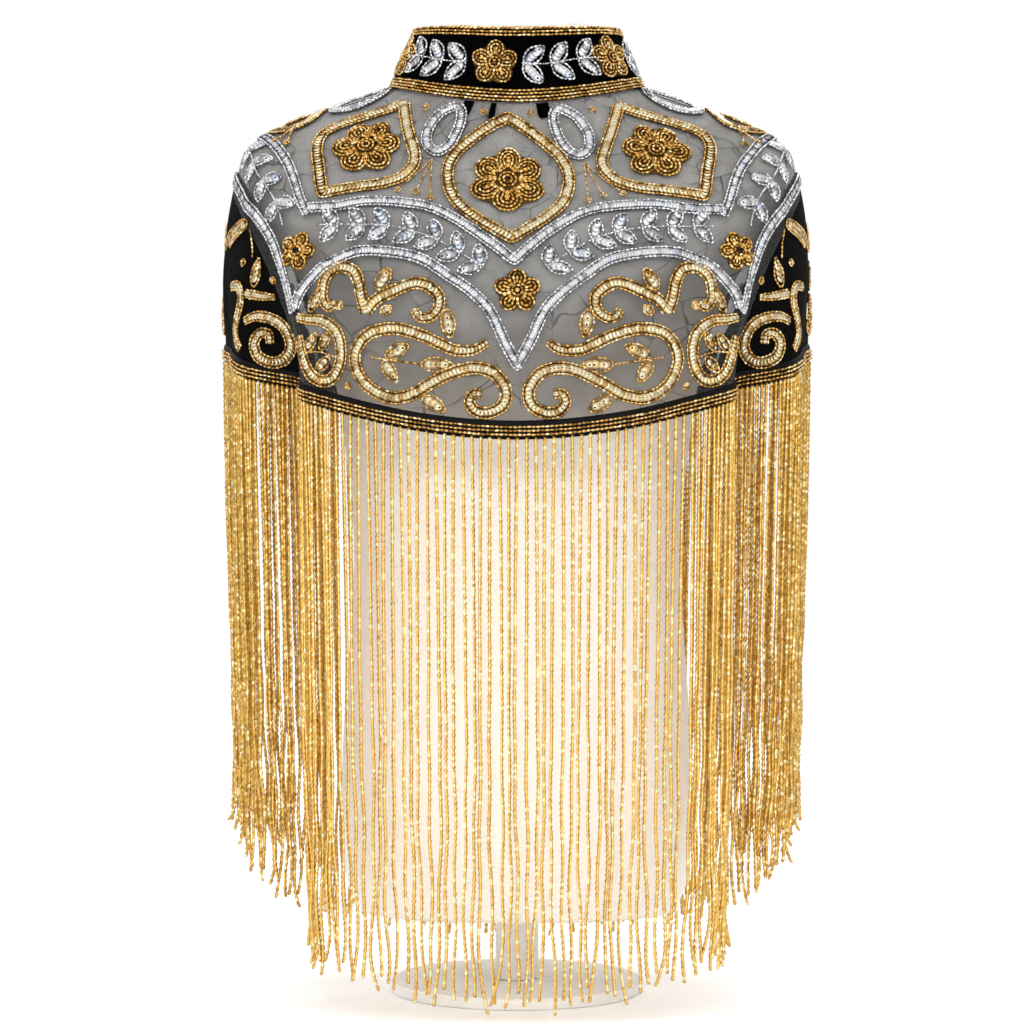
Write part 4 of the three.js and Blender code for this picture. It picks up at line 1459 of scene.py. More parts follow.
    def build(self, metal: Metal, nodes: list[str] | None = None) -> list[Piece]:
        """Makes the pieces; sizes, places and tones vary a little from one bead to the next.

        Args:
            metal: what it is made of.
            nodes: names of the solids that the work stands for, or None for none.

        Returns:
            The pieces.
        """
        nodes = nodes or []
        chance = np.random.default_rng(self.seed)
        seats = gathered(self.beads)
        count = len(seats.at)
        sizes = np.concatenate(self.bead_sizes) * chance.normal(1, 0.06, (count, 3)).clip(0.85, 1.15)
        aside, lifted = chance.normal(0, 0.09, (count, 1)), chance.normal(0, 0.07, (count, 1))
        seats.at = seats.at + seats.across * aside + seats.out * lifted
        seats.along = unit(seats.along + seats.across * chance.normal(0, 0.07, (count, 1)))
        seats.across = np.cross(seats.out, seats.along)
        skin = seats.stamped(Shape.bead(), sizes, chance.beta(1.6, 1.9, count))
        on_beads = [] if self.sequins else nodes
        made = [dressed(skin.made(self.name + "_beads", metal.beads), metal.bead_slot, *on_beads)]
        if self.sequins:
            seats = gathered(self.sequins)
            count = len(seats.at)
            lean = chance.normal(0, 0.09, (count, 1))
            dip = chance.normal(0, 0.06, (count, 1))
            seats.out = unit(seats.out + seats.across * lean + seats.along * dip)
            seats.across = unit(np.cross(seats.out, seats.along))
            seats.along = np.cross(seats.across, seats.out)
            skin = seats.stamped(Shape.sequin(), np.concatenate(self.sequin_sizes), chance.random(count))
            made.append(dressed(skin.made(self.name + "_sequins", metal.foil), metal.foil_slot, *nodes))
        # The dark strips under the work: thread, and painted shade between the beads.
        if self.thread_and_shade_strips:
            thread_and_shade_piece = joined(self.thread_and_shade_strips).made(self.name + "_backing", metal.thread_and_shade)
            made.append(dressed(thread_and_shade_piece, "black_net"))
        return made


# Motifs of the front right quarter, as turns in degrees and millimetres down the cloth. Each run is a
# smooth line, and two runs of a motif meet at a corner.
CENTRE_FRAME: Run = (
    (0, 12), (6, 20), (11, 31), (15, 46), (15.5, 63), (12.5, 82), (8, 94), (3.5, 103), (0, 110),
)
SIDE_FRAME: tuple[Run, ...] = (
    ((42.5, 13), (34, 30), (25.5, 54), (25, 70), (28, 82), (33, 92), (39.5, 106)),
    ((39.5, 106), (44.5, 90), (53.5, 70), (55, 57), (51, 37), (42.5, 13)),
)
UPPER_ARCH: Run = (
    (0, 127), (3.5, 116), (8, 105), (13.5, 96), (18.5, 93), (25, 96), (30.5, 102), (35.5, 111),
    (42.6, 120),
)
LOWER_ARCH: Run = (
    (0, 203), (2.5, 185), (5, 165), (8.5, 152), (13, 142), (18, 133), (24, 133), (30, 138), (34, 147),
    (37, 155), (40, 168), (42, 179), (43, 190),
)
TEARDROP: Run = (
    (20.5, 6), (25, 14), (26, 28), (24, 42), (20.3, 47), (17.4, 39), (16.6, 24), (17.6, 12), (20.5, 6),
)
PAISLEY: Run = (
    (5.5, 187), (8, 193), (11.5, 194.5), (14.5, 191), (18, 187), (22.5, 186), (27, 193), (29.7, 208),
    (29.7, 221), (27.5, 232), (23.5, 236), (19.5, 231), (16, 221), (12, 211), (8, 206), (4.3, 209),
    (2.2, 220), (2.5, 231), (4.9, 237.5), (7.4, 237.5), (8.8, 231.5), (8.2, 225), (6.6, 224.5),
)
HORN: tuple[Run, ...] = (
    (
        (19, 169.6), (18, 174.7), (16.2, 173.5), (14.7, 167), (14.6, 157.7), (16.4, 152.4), (18.6, 151),
        (20.8, 154.6), (24.1, 162.8), (26.3, 169.6), (27.7, 178),
    ),
    (
        (27.8, 178.5), (28.8, 169), (29.6, 159), (30.7, 153), (32.6, 151.7), (34.6, 154.7), (36.4, 162.4),
        (36.9, 171.6), (36.6, 179), (35.3, 181.9), (34.3, 176.7),
    ),
)
SIDE_PAISLEY: Run = (
    (42.5, 196), (40, 195), (37, 193), (34.6, 195.5), (33.2, 202), (33, 213), (34, 226), (35.7, 234),
    (37.7, 236.5), (39.8, 233), (41.2, 222), (42, 208),
)
INNER_LINE: Run = (
    (42.2, 124), (44.6, 115.5), (48.1, 104.8), (52.9, 97), (60.8, 91), (69.4, 90), (80, 91), (90, 92),
)
OUTER_LINE: Run = (
    (43.8, 194), (44.6, 186), (45.7, 176), (47.4, 164), (49.8, 153), (53.8, 144), (60.2, 136.3),
    (69.3, 130.6), (80, 126.5), (90, 125),
)
VINE: Run = (
    (5.8, 133.6), (9.9, 124.8), (15.2, 116.4), (20.2, 113.6), (25.1, 114.6), (29.9, 118.5), (35, 124),
    (39.6, 129),
)
SHOULDER_FRAME: Run = ((90, 47), (80, 50), (72.5, 57), (69.5, 67), (73, 77), (81, 83), (90, 85))
SHOULDER_LOOP: Run = (
    (71, 3.5), (77.5, 12), (80, 25), (77, 37), (71, 42), (64.5, 36.5), (61.5, 25), (63.5, 11), (71, 3.5),
)
SHOULDER_VINE: Run = ((77, 103), (69, 106), (62, 111), (56, 117.5), (52, 123.5), (49.5, 131), (48, 138))
SPIRAL: Run = (
    (59.5, 214), (56.5, 208), (53.4, 207), (51.4, 212), (51.2, 223), (52.8, 235), (54.6, 240), (56.6, 237),
    (57.2, 228), (56, 220), (54.6, 219), (54.6, 226),
)
SIDE_CURL: Run = ((67.5, 195), (62.5, 192), (61.2, 201), (63.5, 218), (64, 228), (61.5, 236))
SIDE_ARC: Run = ((71, 168), (66, 158), (61, 149), (63.5, 151), (70, 161), (76, 172))
SIDE_BAR: Run = ((59, 194), (55, 192.5), (51.5, 190))
DANGLES: tuple[Run, ...] = (((20.6, 54), (17.5, 84)), ((20.6, 54), (21, 82)), ((20.6, 54), (25, 84)))
ROSETTES: Run = ((9.2, 9), (32.4, 12))


def laid(runs: tuple[Run, ...], quarter: Quarter) -> tuple[Array, Array]:
    """Turns and millimetres down along the runs of a motif, in a quarter of the cloth.

    Args:
        runs: the motif's runs, each from where the last one ended.
        quarter: where it is sewn.

    Returns:
        Turns, and millimetres down.
    """
    parts = [spline(np.array(run, float) * (PER_DEGREE, 1)) for run in runs]
    line = np.concatenate([parts[0]] + [part[1:] for part in parts[1:]])
    return quarter.turned(line[:, 0] / PER_DEGREE), line[:, 1]


NARROW = {"half_width": 3.3, "sequin_radius": 2.5, "sequin_pitch": 2.0}  # sizes of the silver ribbons


@dataclass
class Motifs:
    """All the bead and sequin work of the cloth, above the hem."""

    side_flower: tuple[float, float, float, int] = (39.5, 59, 23, 6)
    centre_flower: tuple[float, float, float, int] = (0, 63, 25, 6)
    small_flower: tuple[float, float, float, int] = (0, 150, 15, 5)
    shoulder_flower: tuple[float, float, float, int] = (43.4, 151, 13, 5)

    def face(self, finishes: Finishes, name: str, right: Quarter, left: Quarter, seed: int) -> list[Piece]:
        """The work of the front or the back.

        Args:
            finishes: the object's materials.
            name: front or back.
            right: its quarter towards +X.
            left: its quarter towards -X.
            seed: where its chances start.

        Returns:
            The pieces.
        """
        frames = Beadwork(name + "_frames", CAPE, seed)
        scrolls = Beadwork(name + "_scrolls", CAPE, seed + 1)
        flowers = Beadwork(name + "_flowers", CAPE, seed + 2, 1.4, 1.12, 3.0)
        arches = Beadwork(name + "_arches", CAPE, seed + 3, **NARROW)
        vines = Beadwork(name + "_vines", CAPE, seed + 4)
        drops = Beadwork(name + "_dangles", CAPE, seed + 5, 0.8, 0.7, 1.75)
        for quarter in (right, left):
            frames.ribbon(frames.drawn(*laid(SIDE_FRAME, quarter)))
            flowers.flower(float(quarter.turned(self.side_flower[0])), *self.side_flower[1:])
            flowers.flower(float(quarter.turned(self.shoulder_flower[0])), *self.shoulder_flower[1:])
            scrolls.ribbon(scrolls.drawn(*laid((PAISLEY,), quarter)), 0.55, 0.7)
            scrolls.ribbon(scrolls.drawn(*laid(HORN[:1], quarter)), 0.6, 1.0)
            scrolls.ribbon(scrolls.drawn(*laid(HORN[1:], quarter)), 1.0, 0.6)
            scrolls.ribbon(scrolls.drawn(*laid((SIDE_PAISLEY,), quarter)), 0.6, 0.6)
            self.sprigs(scrolls, quarter)
            arches.ribbon(arches.drawn(*laid((TEARDROP,), quarter)), 0.9, 0.9)
            self.vine(vines, quarter)
            for run in DANGLES:
                drops.row(drops.drawn(*laid((run,), quarter)), 0.0, 0.8)
                drops.rosette(float(quarter.turned(run[-1][0])), run[-1][1] + 1.5)
            for turn, down in ROSETTES:
                drops.rosette(float(quarter.turned(turn)), down, 2.2)
        for runs in ((UPPER_ARCH,), (LOWER_ARCH,)):
            halves = [laid(runs, quarter) for quarter in (right, left)]
            both = [np.concatenate([first[::-1], second[1:]]) for first, second in zip(*halves)]
            arches.ribbon(arches.drawn(*both))
        flowers.flower(right.value[0], *self.small_flower[1:])
        nodes = [f"{name}_{side}" for side in ("upper_arch", "lower_arch")]
        frame_nodes = [f"{name}_{hand}_frame" for hand in ("right", "left")]
        flower_nodes = [f"{name}_{side}_flower" for side in ("right", "left", "small")]
        if name == "front":
            halves = [laid((CENTRE_FRAME,), quarter) for quarter in (right, left)]
            both = [np.concatenate([first, second[::-1][1:-1]]) for first, second in zip(*halves)]
            frames.ribbon(frames.drawn(*both, closed=True))
            flowers.flower(*self.centre_flower)
            frame_nodes.append("front_centre_frame")
            flower_nodes.append("front_centre_flower")
        paisley_nodes = [f"{name}_{hand}_paisley" for hand in ("right", "left")]
        return [
            *frames.build(finishes.gold, frame_nodes),
            *scrolls.build(finishes.gold, paisley_nodes),
            *flowers.build(finishes.deep_gold, flower_nodes),
            *arches.build(finishes.silver, nodes),
            *vines.build(finishes.silver),
            *drops.build(finishes.gold),
        ]

    def tab(self, finishes: Finishes, name: str, turn: float, reach: float) -> Piece:
        """A small velvet tab sewn under the collar.

        Args:
            finishes: the object's materials.
            name: the piece's name.
            turn: turn of its middle.
            reach: half the turn that it takes.

        Returns:
            The piece.
        """
        turns, down = np.meshgrid(np.linspace(turn - reach, turn + reach, 9), np.linspace(1.2, 13.2, 9))
        round_off = 1 - 0.3 * np.clip((down - 9) / 4.2, 0, 1) ** 2
        turns = turn + (turns - turn) * round_off
        share = down / CAPE.length
        outer, inner = CAPE.moved_out(turns, share, 0.9), CAPE.moved_out(turns, share, 0.1)
        places = np.stack([turns * PER_DEGREE, down], axis=-1)
        return dressed(closed_wall(outer, inner, places).made(name, finishes.velvet), "velvet")

    def sprigs(self, work: Beadwork, quarter: Quarter) -> None:
        """Small leaves inside and between the scrolls."""
        sign = 1 if quarter.turned(1) > quarter.turned(0) else -1
        for turn, down, heading, length, width, filled in (
            (13.2, 166, 254, 20, 9, 3),
            (26, 161.5, 105, 16.5, 9.5, 3),
            (25, 177.5, 131, 8.5, 6, 1),
            (33.6, 182, 90, 6, 5, 1),
            (24.3, 207.5, 143, 18, 9, 3),
            (24.6, 210, 226, 17, 8.5, 3),
            (17.7, 207.8, 174, 21, 9.5, 4),
            (17.3, 231, 205, 18, 9, 3),
            (39.7, 190, 100, 19, 7, 3),
            (40.6, 219, 105, 15, 6.5, 2),
            (37.4, 214, 103, 13, 6.5, 2),
            (35.6, 217, 297, 14, 7, 2),
        ):
            seat = work.place(float(quarter.turned(turn)), down)
            facing = heading if sign > 0 else 180 - heading
            work.leaf(*seat, facing, length, width, filled)
        for stem in (((27, 209.5), (22, 208.5), (17.7, 207.8)), ((34.5, 216), (37.5, 215.5), (40.5, 219))):
            work.row(work.drawn(*laid((stem,), quarter)), 0.0, 0.8, 0.9)
        work.rosette(float(quarter.turned(32.1)), 235)

    def vine(self, work: Beadwork, quarter: Quarter) -> None:
        """The leafy vine between the arches."""
        stem = work.drawn(*laid((VINE,), quarter))
        work.branch(stem, (48.0, -46.0), (16, 9.5), 7)

    def shoulders(self, finishes: Finishes, name: str, right: bool, seed: int) -> list[Piece]:
        """The silver lines and vines over one shoulder, from front to back.

        Args:
            finishes: the object's materials.
            name: right or left.
            right: True for the +X shoulder.
            seed: where its chances start.

        Returns:
            The pieces.
        """
        sign = 1 if right else -1
        work = Beadwork(name + "_shoulder", CAPE, seed, **NARROW)
        for run in (INNER_LINE, OUTER_LINE):
            turn, down = laid((run,), Quarter.FRONT_RIGHT)
            turns, downs = np.append(turn, (180 - turn)[-2::-1]), np.append(down, down[-2::-1])
            work.ribbon(work.drawn(sign * turns, downs), 0.8, 0.8)
        for back in (False, True):
            turn, down = laid((SHOULDER_VINE,), Quarter.FRONT_RIGHT)
            turn = sign * (180 - turn if back else turn)
            work.branch(work.drawn(turn, down), (50.0, -48.0), (15.5, 9.5), 4)
            turn, down = laid((SHOULDER_LOOP,), Quarter.FRONT_RIGHT)
            work.ribbon(work.drawn(sign * (180 - turn if back else turn), down), 0.9, 0.9)
        nodes = [f"{name}_shoulder_{line}" for line in ("inner_line", "outer_line")]
        return work.build(finishes.silver, nodes)

    def shoulder_top(self, finishes: Finishes, name: str, right: bool, seed: int) -> list[Piece]:
        """A gold frame with a flower and drops, on top of one shoulder.

        Args:
            finishes: the object's materials.
            name: right or left.
            right: True for the +X shoulder.
            seed: where its chances start.

        Returns:
            The pieces.
        """
        sign = 1 if right else -1
        work = Beadwork(name + "_shoulder_top", CAPE, seed)
        turn, down = laid((SHOULDER_FRAME,), Quarter.FRONT_RIGHT)
        turns, downs = np.append(turn, (180 - turn)[-2:0:-1]), np.append(down, down[-2:0:-1])
        work.ribbon(work.drawn(sign * turns, downs, closed=True))
        work.flower(sign * 90.0, 66, 13, 5)
        for middle, side in ((70.0, -1), (110.0, 1)):
            for lean, end in ((3.5, 87), (8.5, 83)):
                turn = np.linspace(middle, middle + side * lean, 20)
                work.row(work.drawn(sign * turn, np.linspace(72, end, 20)), 0.0, 0.8)
                work.rosette(sign * float(turn[-1]), end + 1)
        return work.build(finishes.gold)

    def gusset(self, finishes: Finishes, name: str, right: bool, seed: int) -> list[Piece]:
        """The gold scrolls on one side panel, whose opaque black is painted shade, the same before and
        behind.

        Args:
            finishes: the object's materials.
            name: right or left.
            right: True for the +X side.
            seed: where its chances start.

        Returns:
            The pieces.
        """
        work = Beadwork(name + "_side_scrolls", CAPE, seed)
        front, back = Quarter.FRONT_RIGHT, Quarter.BACK_RIGHT
        if not right:
            front, back = Quarter.FRONT_LEFT, Quarter.BACK_LEFT
        for quarter in (front, back):
            for run, start, end in (
                (SPIRAL, 0.6, 0.6),
                (SIDE_CURL, 0.6, 0.7),
                (SIDE_ARC, 0.6, 0.6),
                (SIDE_BAR, 0.8, 0.4),
            ):
                work.ribbon(work.drawn(*laid((run,), quarter)), start, end)
            work.leaf(*work.place(float(quarter.turned(56.8)), 188), 90, 20, 8, 3)
            work.row(work.drawn(*laid((((58.5, 150), (57, 160), (56.8, 168)),), quarter)), 0.0, 0.8)
            work.rosette(float(quarter.turned(50.8)), 178, 2.2)
            work.rosette(float(quarter.turned(60.5)), 174, 2.2)
        centre = 90 if right else 270
        for down in (203, 176):
            work.leaf(*work.place(float(centre), down), 90, 21, 12, 4)
        work.flower(float(centre), 221, 15, 5)
        return work.build(finishes.gold)


@dataclass
class Hem:
    """The black binding of the hem, with rows of gold beads on its lower half."""

    thick: float = 1.3
    edge: float = 0.3  # thickness at its edges
    rows: int = 9
    columns: int = 190
    side_columns: int = 90
    bead_rows: tuple[float, ...] = (0.972, 0.983, 0.994)  # shares down the cloth
    margin: float = 0.25  # degrees from a row's ends to the seams

    def build(self, finishes: Finishes, sector: Sector, seed: int) -> list[Piece]:
        """The binding and the beads of one panel.

        Args:
            finishes: the object's materials.
            sector: the panel.
            seed: where its chances start.

        Returns:
            The two pieces.
        """
        name = sector.value[0]
        share = 1 - HEM_HEIGHT / CUT_LENGTH * (1 - np.linspace(0, 1, self.rows))
        turn = sector.turns(share, self.side_columns if sector.side else self.columns)
        share = np.broadcast_to(share[:, None], turn.shape)
        bulge = np.sin(np.pi * np.linspace(0.08, 0.92, self.rows))[:, None]
        thick = self.edge + (self.thick - self.edge) * bulge
        outer = CAPE.moved_out(turn, share, SEAM_GAP + thick + 0 * turn)
        inner = CAPE.moved_out(turn, share, SEAM_GAP)
        places = flat_places(turn, share)
        binding = closed_wall(outer, inner, places).made(name + "_binding", finishes.satin)
        work = Beadwork(name + "_hem", CAPE, seed, 1.4, 1.0, 3.0)
        for row in self.bead_rows:
            edge = float(sector.reach(np.array([row]))[0]) - self.margin
            turns = np.linspace(sector.value[1] - edge, sector.value[1] + edge, 500)
            work.row(Line(CAPE, turns, np.full_like(turns, row)), 0.0, SEAM_GAP + self.thick + 0.5)
        beads = work.build(finishes.gold)
        return [dressed(binding, "satin", name + "_hem"), *beads]


@dataclass
class Collar:
    """The velvet stand collar, open at the centre back, with beaded edges, flowers, branches and buttons."""

    thick: float = 2.0
    opening: float = 0.7  # degrees on each side of the centre back
    columns: int = 180
    flower_turns: tuple[float, ...] = (-11.0, 50.0, -72.0, 111.0, -133.0)
    branch_turns: tuple[tuple[float, float, int], ...] = (
        (2.0, 41.5, 3),
        (-24.0, -61.5, 3),
        (62.5, 98.0, 3),
        (-85.0, -120.0, 3),
        (123.5, 174.0, 4),
        (-145.5, -174.0, 2),
    )
    button_drops: tuple[float, float] = (13.0, 30.0)
    mould: Run = ((2.0, 3.0), (4.0, 2.3), (4.8, 1.3), (4.6, 0.6))  # a button's radii and heights
    button_rings: tuple[tuple[float, float, int], ...] = ((4.3, 2.1, 16), (2.5, 3.0, 10), (0.9, 3.4, 4))

    def band(self, finishes: Finishes) -> Piece:
        """The collar's shell, with its edges rounded: its half thickness is a square root near the edges."""
        share = np.linspace(0, 1, 19)
        turn = np.linspace(-180 + self.opening, 180 - self.opening, self.columns)
        turn, share = np.meshgrid(turn, share)
        places = np.stack([turn * 1.25, share * COLLAR.length], axis=-1)
        rounding = 1 - np.clip(1 - np.minimum(share, 1 - share) / 0.03, 0, 1) ** 2
        middle = -self.thick / 2
        outer = COLLAR.moved_out(turn, share, middle + self.thick / 2 * (0.35 + 0.65 * rounding))
        inner = COLLAR.moved_out(turn, share, middle - self.thick / 2 * (0.35 + 0.65 * rounding))
        piece = closed_wall(outer, inner, places).made("collar_velvet", finishes.velvet)
        return dressed(piece, "velvet", "collar")

    def edges(self, finishes: Finishes) -> None:
        """Rows of gold beads along the top, inside and out, and along the seam."""
        turns = np.linspace(-180 + self.opening + 0.4, 180 - self.opening - 0.4, 900)
        top = Beadwork("collar_top", COLLAR, 301, 1.5, 1.05, 3.2)
        within = -self.thick - 0.9
        outside, inside = ((0.025, 0.9), (0.07, 0.9), (0.115, 0.9)), ((0.03, within), (0.075, within))
        for share, lift in (*outside, (0.0, -0.9), *inside):
            top.row(Line(COLLAR, turns, np.full_like(turns, share)), 0.0, lift)
        top.build(finishes.gold, ["collar_top_beads"])
        base = Beadwork("collar_base", COLLAR, 302, 1.5, 1.02, 3.2)
        for share in (0.855, 0.9, 0.945, 0.99):
            base.row(Line(COLLAR, turns, np.full_like(turns, share)), 0.0, 0.95)
        base.build(finishes.gold, ["collar_base_beads"])

    def work(self, finishes: Finishes) -> list[Piece]:
        """Gold flowers and silver branches in turn along the band."""
        flowers = Beadwork("collar_flowers", COLLAR, 303, 1.25, 1.0, 2.7)
        for turn in self.flower_turns:
            flowers.flower(turn, 23, 15.5, 5)
        branches = Beadwork("collar_branches", COLLAR, 304)
        for start, end, pairs in self.branch_turns:
            turns = np.linspace(start, end, 60)
            stem = Line(COLLAR, turns, 0.49 + 0.02 * np.sin(np.linspace(0, 6, 60)))
            branches.branch(stem, (46.0, -46.0), (18.5, 10.5), pairs, 4)
        return [*flowers.build(finishes.gold), *branches.build(finishes.silver)]

    def buttons(self, finishes: Finishes) -> None:
        """Two buttons over the opening: a turned mould covered with rings of beads."""
        for k, drop in enumerate(self.button_drops, start=1):
            share = drop / COLLAR.length
            at, out = COLLAR.point(180.0, share), COLLAR.normal(180.0, share)
            level = unit(COLLAR.point(180.4, share) - COLLAR.point(179.6, share))
            low = np.cross(level, out)
            angle = circle(20)
            round_it = level * np.cos(angle)[:, None] + low * np.sin(angle)[:, None]
            rings = np.stack([at + round_it * radius + out * height for radius, height in self.mould])
            body = lofted(rings[:, ::-1]).made(f"button_{k}_mould", finishes.gold_fringe)
            seats = []
            for radius, height, count in self.button_rings:
                turn = circle(count)
                spoke = level * np.cos(turn)[:, None] + low * np.sin(turn)[:, None]
                along = level * -np.sin(turn)[:, None] + low * np.cos(turn)[:, None]
                facing = np.broadcast_to(out, along.shape)
                place = at + spoke * radius + out * height
                seats.append(Seats(place, along, np.cross(facing, along), facing))
            work = gathered(seats)
            size = np.tile([0.8, 0.75, 0.75], (len(work.at), 1))
            tone = np.random.default_rng(310 + k).random(len(work.at))
            beads = work.stamped(Shape.bead(), size, tone).made(f"button_{k}_beads", finishes.gold.beads)
            dressed(body, "gold_beads", f"collar_button_{k}")
            dressed(beads, "gold_beads")


@dataclass
class Fringe:
    """Long strands of small gold beads, rooted in a heading under the hem."""

    drop: float = 0.5
    height: float = 1.6
    heading: tuple[float, float] = (-0.95, -1.55)  # the tape's two faces, out from the hem's face
    out: float = 0.75
    pitch: float = 6.0
    side_pitch: float = 3.3
    close_from: float = 0.66  # of the way from the middle of the front or back, where the strands close up
    centre_length: float = 371.0
    side_length: float = 318.0
    joint_length: float = 352.0  # at a side's two joints
    lean: float = 0.045  # how far the ends draw in, as a part of x
    bead: float = 4.0
    painted_glints: float = 0.13  # part of the half beads that are painted light, as glints
    sides: int = 3
    thick: float = 1.6
    thin: float = 1.0
    made: int = 0

    def build(self, finishes: Finishes, sector: Sector, seed: int) -> list[Piece]:
        """The heading tape and the strands of one panel.

        The strands' pitch closes up towards the joints: they stand at equal steps of the sum of length over
        pitch. A strand's middle runs down from its root. It bows by a parabola of the way down and wavers
        by sums of sines that grow towards its end. Its rings have three points, and are wide at a bead's
        middle and narrow at its ends.

        Args:
            finishes: the object's materials.
            sector: the panel that it hangs from.
            seed: where its chances start.

        Returns:
            The two pieces.
        """
        chance = np.random.default_rng(seed)
        name = sector.value[0]
        turns = sector.turns(np.array([1.0]), 240)[0]
        low = np.array([0, 0, 1.0])

        def edge(out: float, down: float) -> Array:
            """The hem's edge, moved out and down."""
            return CAPE.moved_out(turns, np.ones_like(turns), out) - low * down

        walls = [np.stack([edge(out, -1.5), edge(out, self.height)]) for out in self.heading]
        places = np.stack(np.meshgrid(turns * PER_DEGREE, (-1.5, self.height)), axis=-1)
        tape = closed_wall(*walls, places).made(name + "_heading", finishes.tape)
        line = edge(self.out, self.drop)
        ran = run_length(line)
        wide = self.side_pitch if sector.side else self.pitch
        close = np.clip((np.abs(2 * ran / ran[-1] - 1) - self.close_from) / 0.08, 0, 1)
        steps = np.diff(ran) / (wide + (self.side_pitch - wide) * (close[1:] + close[:-1]) / 2)
        passed = summed(steps)
        count = int(round(passed[-1]))
        stops = np.interp((np.arange(count) + 0.5) * passed[-1] / count, passed, ran)
        roots = at_lengths(stops, ran, line)
        index = self.made + np.arange(count)
        self.made += count
        off = np.linspace(-1, 1, count) ** 2
        side = self.side_length + (self.joint_length - self.side_length) * off
        full = side if sector.side else self.centre_length
        length = full + 5 * np.sin(2.4 * index) + 3 * np.sin(7.1 * index)
        beads = int(np.ceil(length.mean() / self.bead))
        rings = 2 * beads + 1
        way = np.linspace(0, 1, rings)[None, :]
        bow = 2 * way * (1 - way)
        loose = np.clip((way - 0.25) / 0.75, 0, 1) ** 1.5
        phase = chance.random((count, 4)) * 2 * np.pi
        sway = [
            1.5 * np.sin(9 * way + phase[:, :1] * 0.4 + index[:, None] * 0.7)
            + 1.1 * np.sin(31 * way + phase[:, 1:2])
            for phase in (phase[:, :2], phase[:, 2:])
        ]
        tip = np.clip((way - 0.93) / 0.07, 0, 1) ** 2 * chance.normal(0, 2.2, (count, 1))
        x = roots[:, :1] * (1 - self.lean * way) + 3 * np.sin(1.7 * index)[:, None] * bow
        x = x + sway[0] * loose + tip
        y = roots[:, 1:2] + 3 * np.sin(2.9 * index)[:, None] * bow + sway[1] * loose
        z = roots[:, 2:] - length[:, None] * way
        middle = np.stack([x, y, z], axis=-1)
        radius = np.where(np.arange(rings) % 2 == 1, self.thick, self.thin)[None, :, None]
        radius = radius * chance.normal(1, 0.05, (count, rings, 1)).clip(0.85, 1.15)
        angle = circle(self.sides) + 0.5 * way[:, :, None] + phase[:, :1, None]
        spokes = [radius * np.cos(angle), radius * np.sin(angle), np.zeros_like(angle)]
        points = middle[:, :, None, :] + np.stack(spokes, axis=-1)
        number = np.arange(count * rings * self.sides).reshape(count, rings, self.sides)
        after = np.roll(number, -1, axis=2)
        walls = quads(number[:, :-1], number[:, 1:], after[:, 1:], after[:, :-1])
        # Strands of the side panels get lower tones: painted shade.
        base = 0.08 if sector.side else 0.26
        tone = base + 0.42 * chance.random((count, rings - 1))
        # A share of the half beads gets a high tone: painted glints.
        tone = np.where(chance.random((count, rings - 1)) < self.painted_glints, 0.9, tone)
        tone = tone.ravel().repeat(self.sides)
        caps = np.concatenate([number[:, 0, :], number[:, -1, ::-1]])
        strands = Skin(
            points.reshape(-1, 3),
            np.concatenate([walls.ravel(), caps.ravel()]),
            np.concatenate([np.full(len(walls), 4), np.full(len(caps), self.sides)]),
            np.concatenate([tone, np.full(len(caps), 0.3)]),
        )
        piece = strands.made(name + "_strands", finishes.gold_fringe)
        return [dressed(piece, "gold_fringe", name + "_fringe"), dressed(tape, "satin")]


@dataclass(frozen=True)
class Lamp:
    """A square area light that faces the object's middle at a height, and spreads by so many degrees."""

    name: str
    at: tuple[float, float, float]
    size: float
    power: float
    height: float = 0.45
    spread: float = 180.0

    def build(self) -> None:
        """Adds the light to the scene."""
        light = bpy.data.lights.new(self.name, "AREA")
        light.size, light.energy, light.spread = self.size, self.power, float(np.radians(self.spread))
        lamp = bpy.data.objects.new(self.name, light)
        lamp.location = self.at
        toward = Vector((0, 0, self.height)) - lamp.location
        lamp.rotation_euler = toward.to_track_quat("-Z", "Y").to_euler()
        bpy.context.scene.collection.objects.link(lamp)


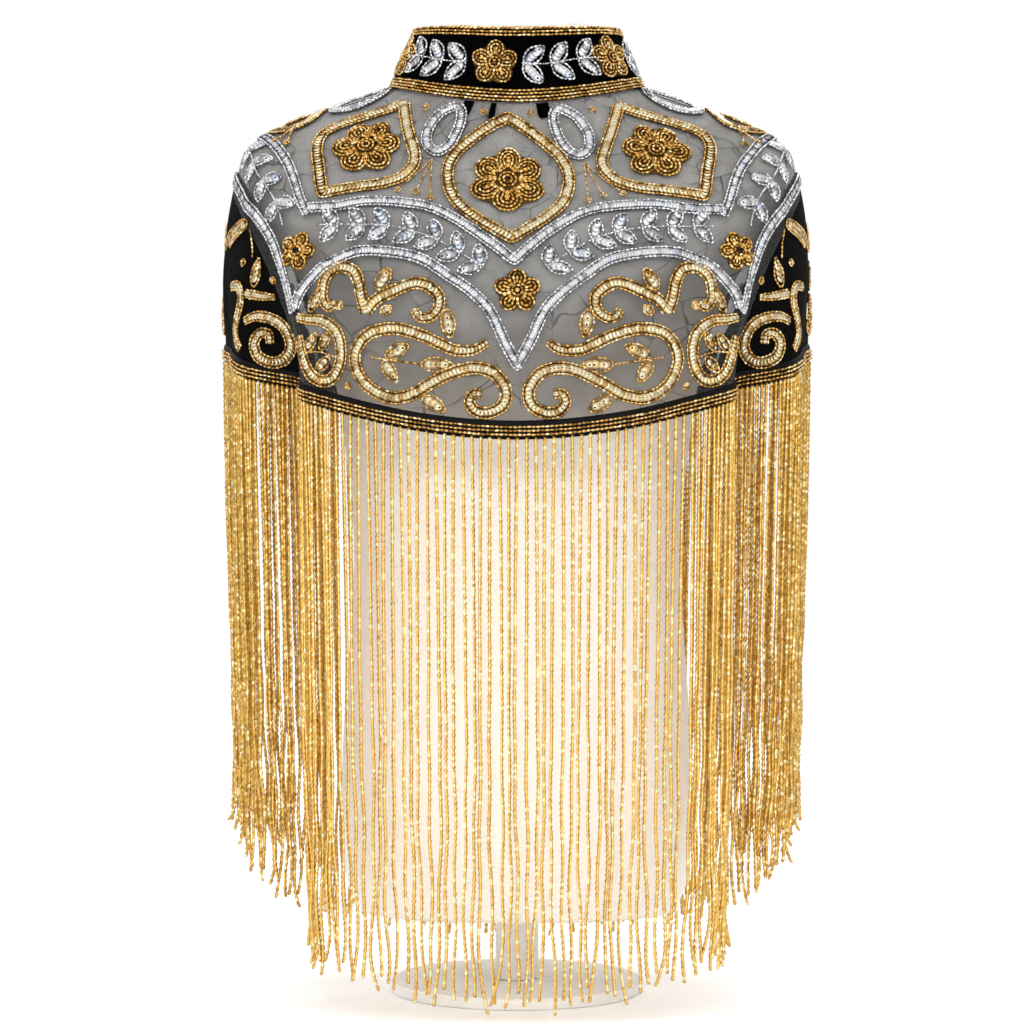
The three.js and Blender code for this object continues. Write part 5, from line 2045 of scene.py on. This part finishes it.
@dataclass
class Studio:
    """Pale floor, soft lights and the camera."""

    camera_at: tuple[float, float, float] = (-0.0035, -2.0, 0.334)
    frame_width: float = 0.7168  # metres of the frame at the object
    sensor: float = 36.0
    lamps: tuple[Lamp, ...] = (
        Lamp("key", (-0.3, -2.5, 1.7), 0.6, 15.5),
        Lamp("fill", (1.7, -1.7, 1.2), 0.6, 6),
        Lamp("side", (-1.9, -1.2, 1.5), 0.5, 6),
        Lamp("back", (0.4, 1.9, 1.8), 0.8, 12),
        Lamp("low", (0.0, -2.2, 0.3), 0.5, 0.42, 0.2, 38),
    )

    def floor(self) -> None:
        """A wide pale floor with a faint grain."""
        grid = np.linspace(-60000, 60000, 25)
        x, y = np.meshgrid(grid, grid)
        outer = np.stack([x, y, np.zeros_like(x)], axis=-1)[::-1]
        material, g, shader = new_material("pale_floor")
        place = g.node("ShaderNodeTexCoord").outputs["Object"]
        pale = g.mixed(g.noise(place, 3.0), linear(255, 255, 255), linear(252, 252, 252))
        g.put(shader.inputs["Base Color"], pale)
        g.put(shader.inputs["Roughness"], g.ranged(g.noise(place, 40.0), 0.3, 0.7, 0.85, 0.95))
        shader.inputs["Specular IOR Level"].default_value = 0.0
        floor = closed_wall(outer, outer - (0, 0, 20)).made("floor", material, rounded=False)

    def build(self) -> None:
        """Makes the floor, the world, the lamps and the camera."""
        self.floor()
        world = bpy.data.worlds.new("studio")
        world.use_nodes = True
        g = Graph(world.node_tree)
        output, back = g.node("ShaderNodeOutputWorld"), g.node("ShaderNodeBackground")
        g.put(output.inputs["Surface"], back.outputs[0])
        split = g.node("ShaderNodeSeparateXYZ")
        g.put(split.inputs[0], g.node("ShaderNodeTexCoord").outputs["Generated"])
        sky = g.mixed(g.ranged(split.outputs[2], -0.1, 0.55), linear(120, 120, 122), (1.17, 1.17, 1.17, 1.0))
        seen = g.node("ShaderNodeLightPath").outputs["Is Camera Ray"]
        g.put(back.inputs["Color"], g.mixed(seen, sky, (1.0, 1.0, 1.0, 1.0)))
        back.inputs["Strength"].default_value = 1.0
        bpy.context.scene.world = world
        for lamp in self.lamps:
            lamp.build()
        camera = bpy.data.cameras.new("camera")
        camera.sensor_width = self.sensor
        camera.lens = self.sensor * -self.camera_at[1] / self.frame_width
        camera.clip_start, camera.clip_end = 0.05, 200
        seat = bpy.data.objects.new("camera", camera)
        seat.location = self.camera_at
        seat.rotation_euler = (np.pi / 2, 0, 0)
        bpy.context.scene.collection.objects.link(seat)
        bpy.context.scene.camera = seat
        bpy.context.scene.view_settings.view_transform = "Standard"


def main() -> None:
    logging.basicConfig(level=logging.INFO, format="%(name)s: %(message)s", stream=sys.stdout)
    finishes = Finishes()
    DressForm().build(finishes)
    Stand().build(finishes)
    panels = Panels().build(finishes)
    motifs = Motifs()
    front = motifs.face(finishes, "front", Quarter.FRONT_RIGHT, Quarter.FRONT_LEFT, seed=10)
    back = motifs.face(finishes, "back", Quarter.BACK_RIGHT, Quarter.BACK_LEFT, seed=30)
    for name, right in (("right", True), ("left", False)):
        front += motifs.shoulders(finishes, name, right, seed=50 + 10 * right)
        front += motifs.shoulder_top(finishes, name, right, seed=55 + 10 * right)
    sides = {
        Sector.RIGHT: motifs.gusset(finishes, "right", True, seed=70),
        Sector.LEFT: motifs.gusset(finishes, "left", False, seed=80),
    }
    for name, turn, reach in (("right_tab", 10.7, 2.6), ("middle_tab", -10.0, 1.2), ("left_tab", -20.4, 2.0)):
        front.append(motifs.tab(finishes, name, turn, reach))
    hem, fringe = Hem(), Fringe()
    trim = {}
    for k, sector in enumerate(Sector):
        trim[sector] = hem.build(finishes, sector, seed=90 + k)
        trim[sector] += fringe.build(finishes, sector, seed=100 + k)
    collar = Collar()
    band = collar.band(finishes)
    collar.edges(finishes)
    collar_work = collar.work(finishes)
    collar.buttons(finishes)
    Studio().build()


if __name__ == "__main__":
    main()
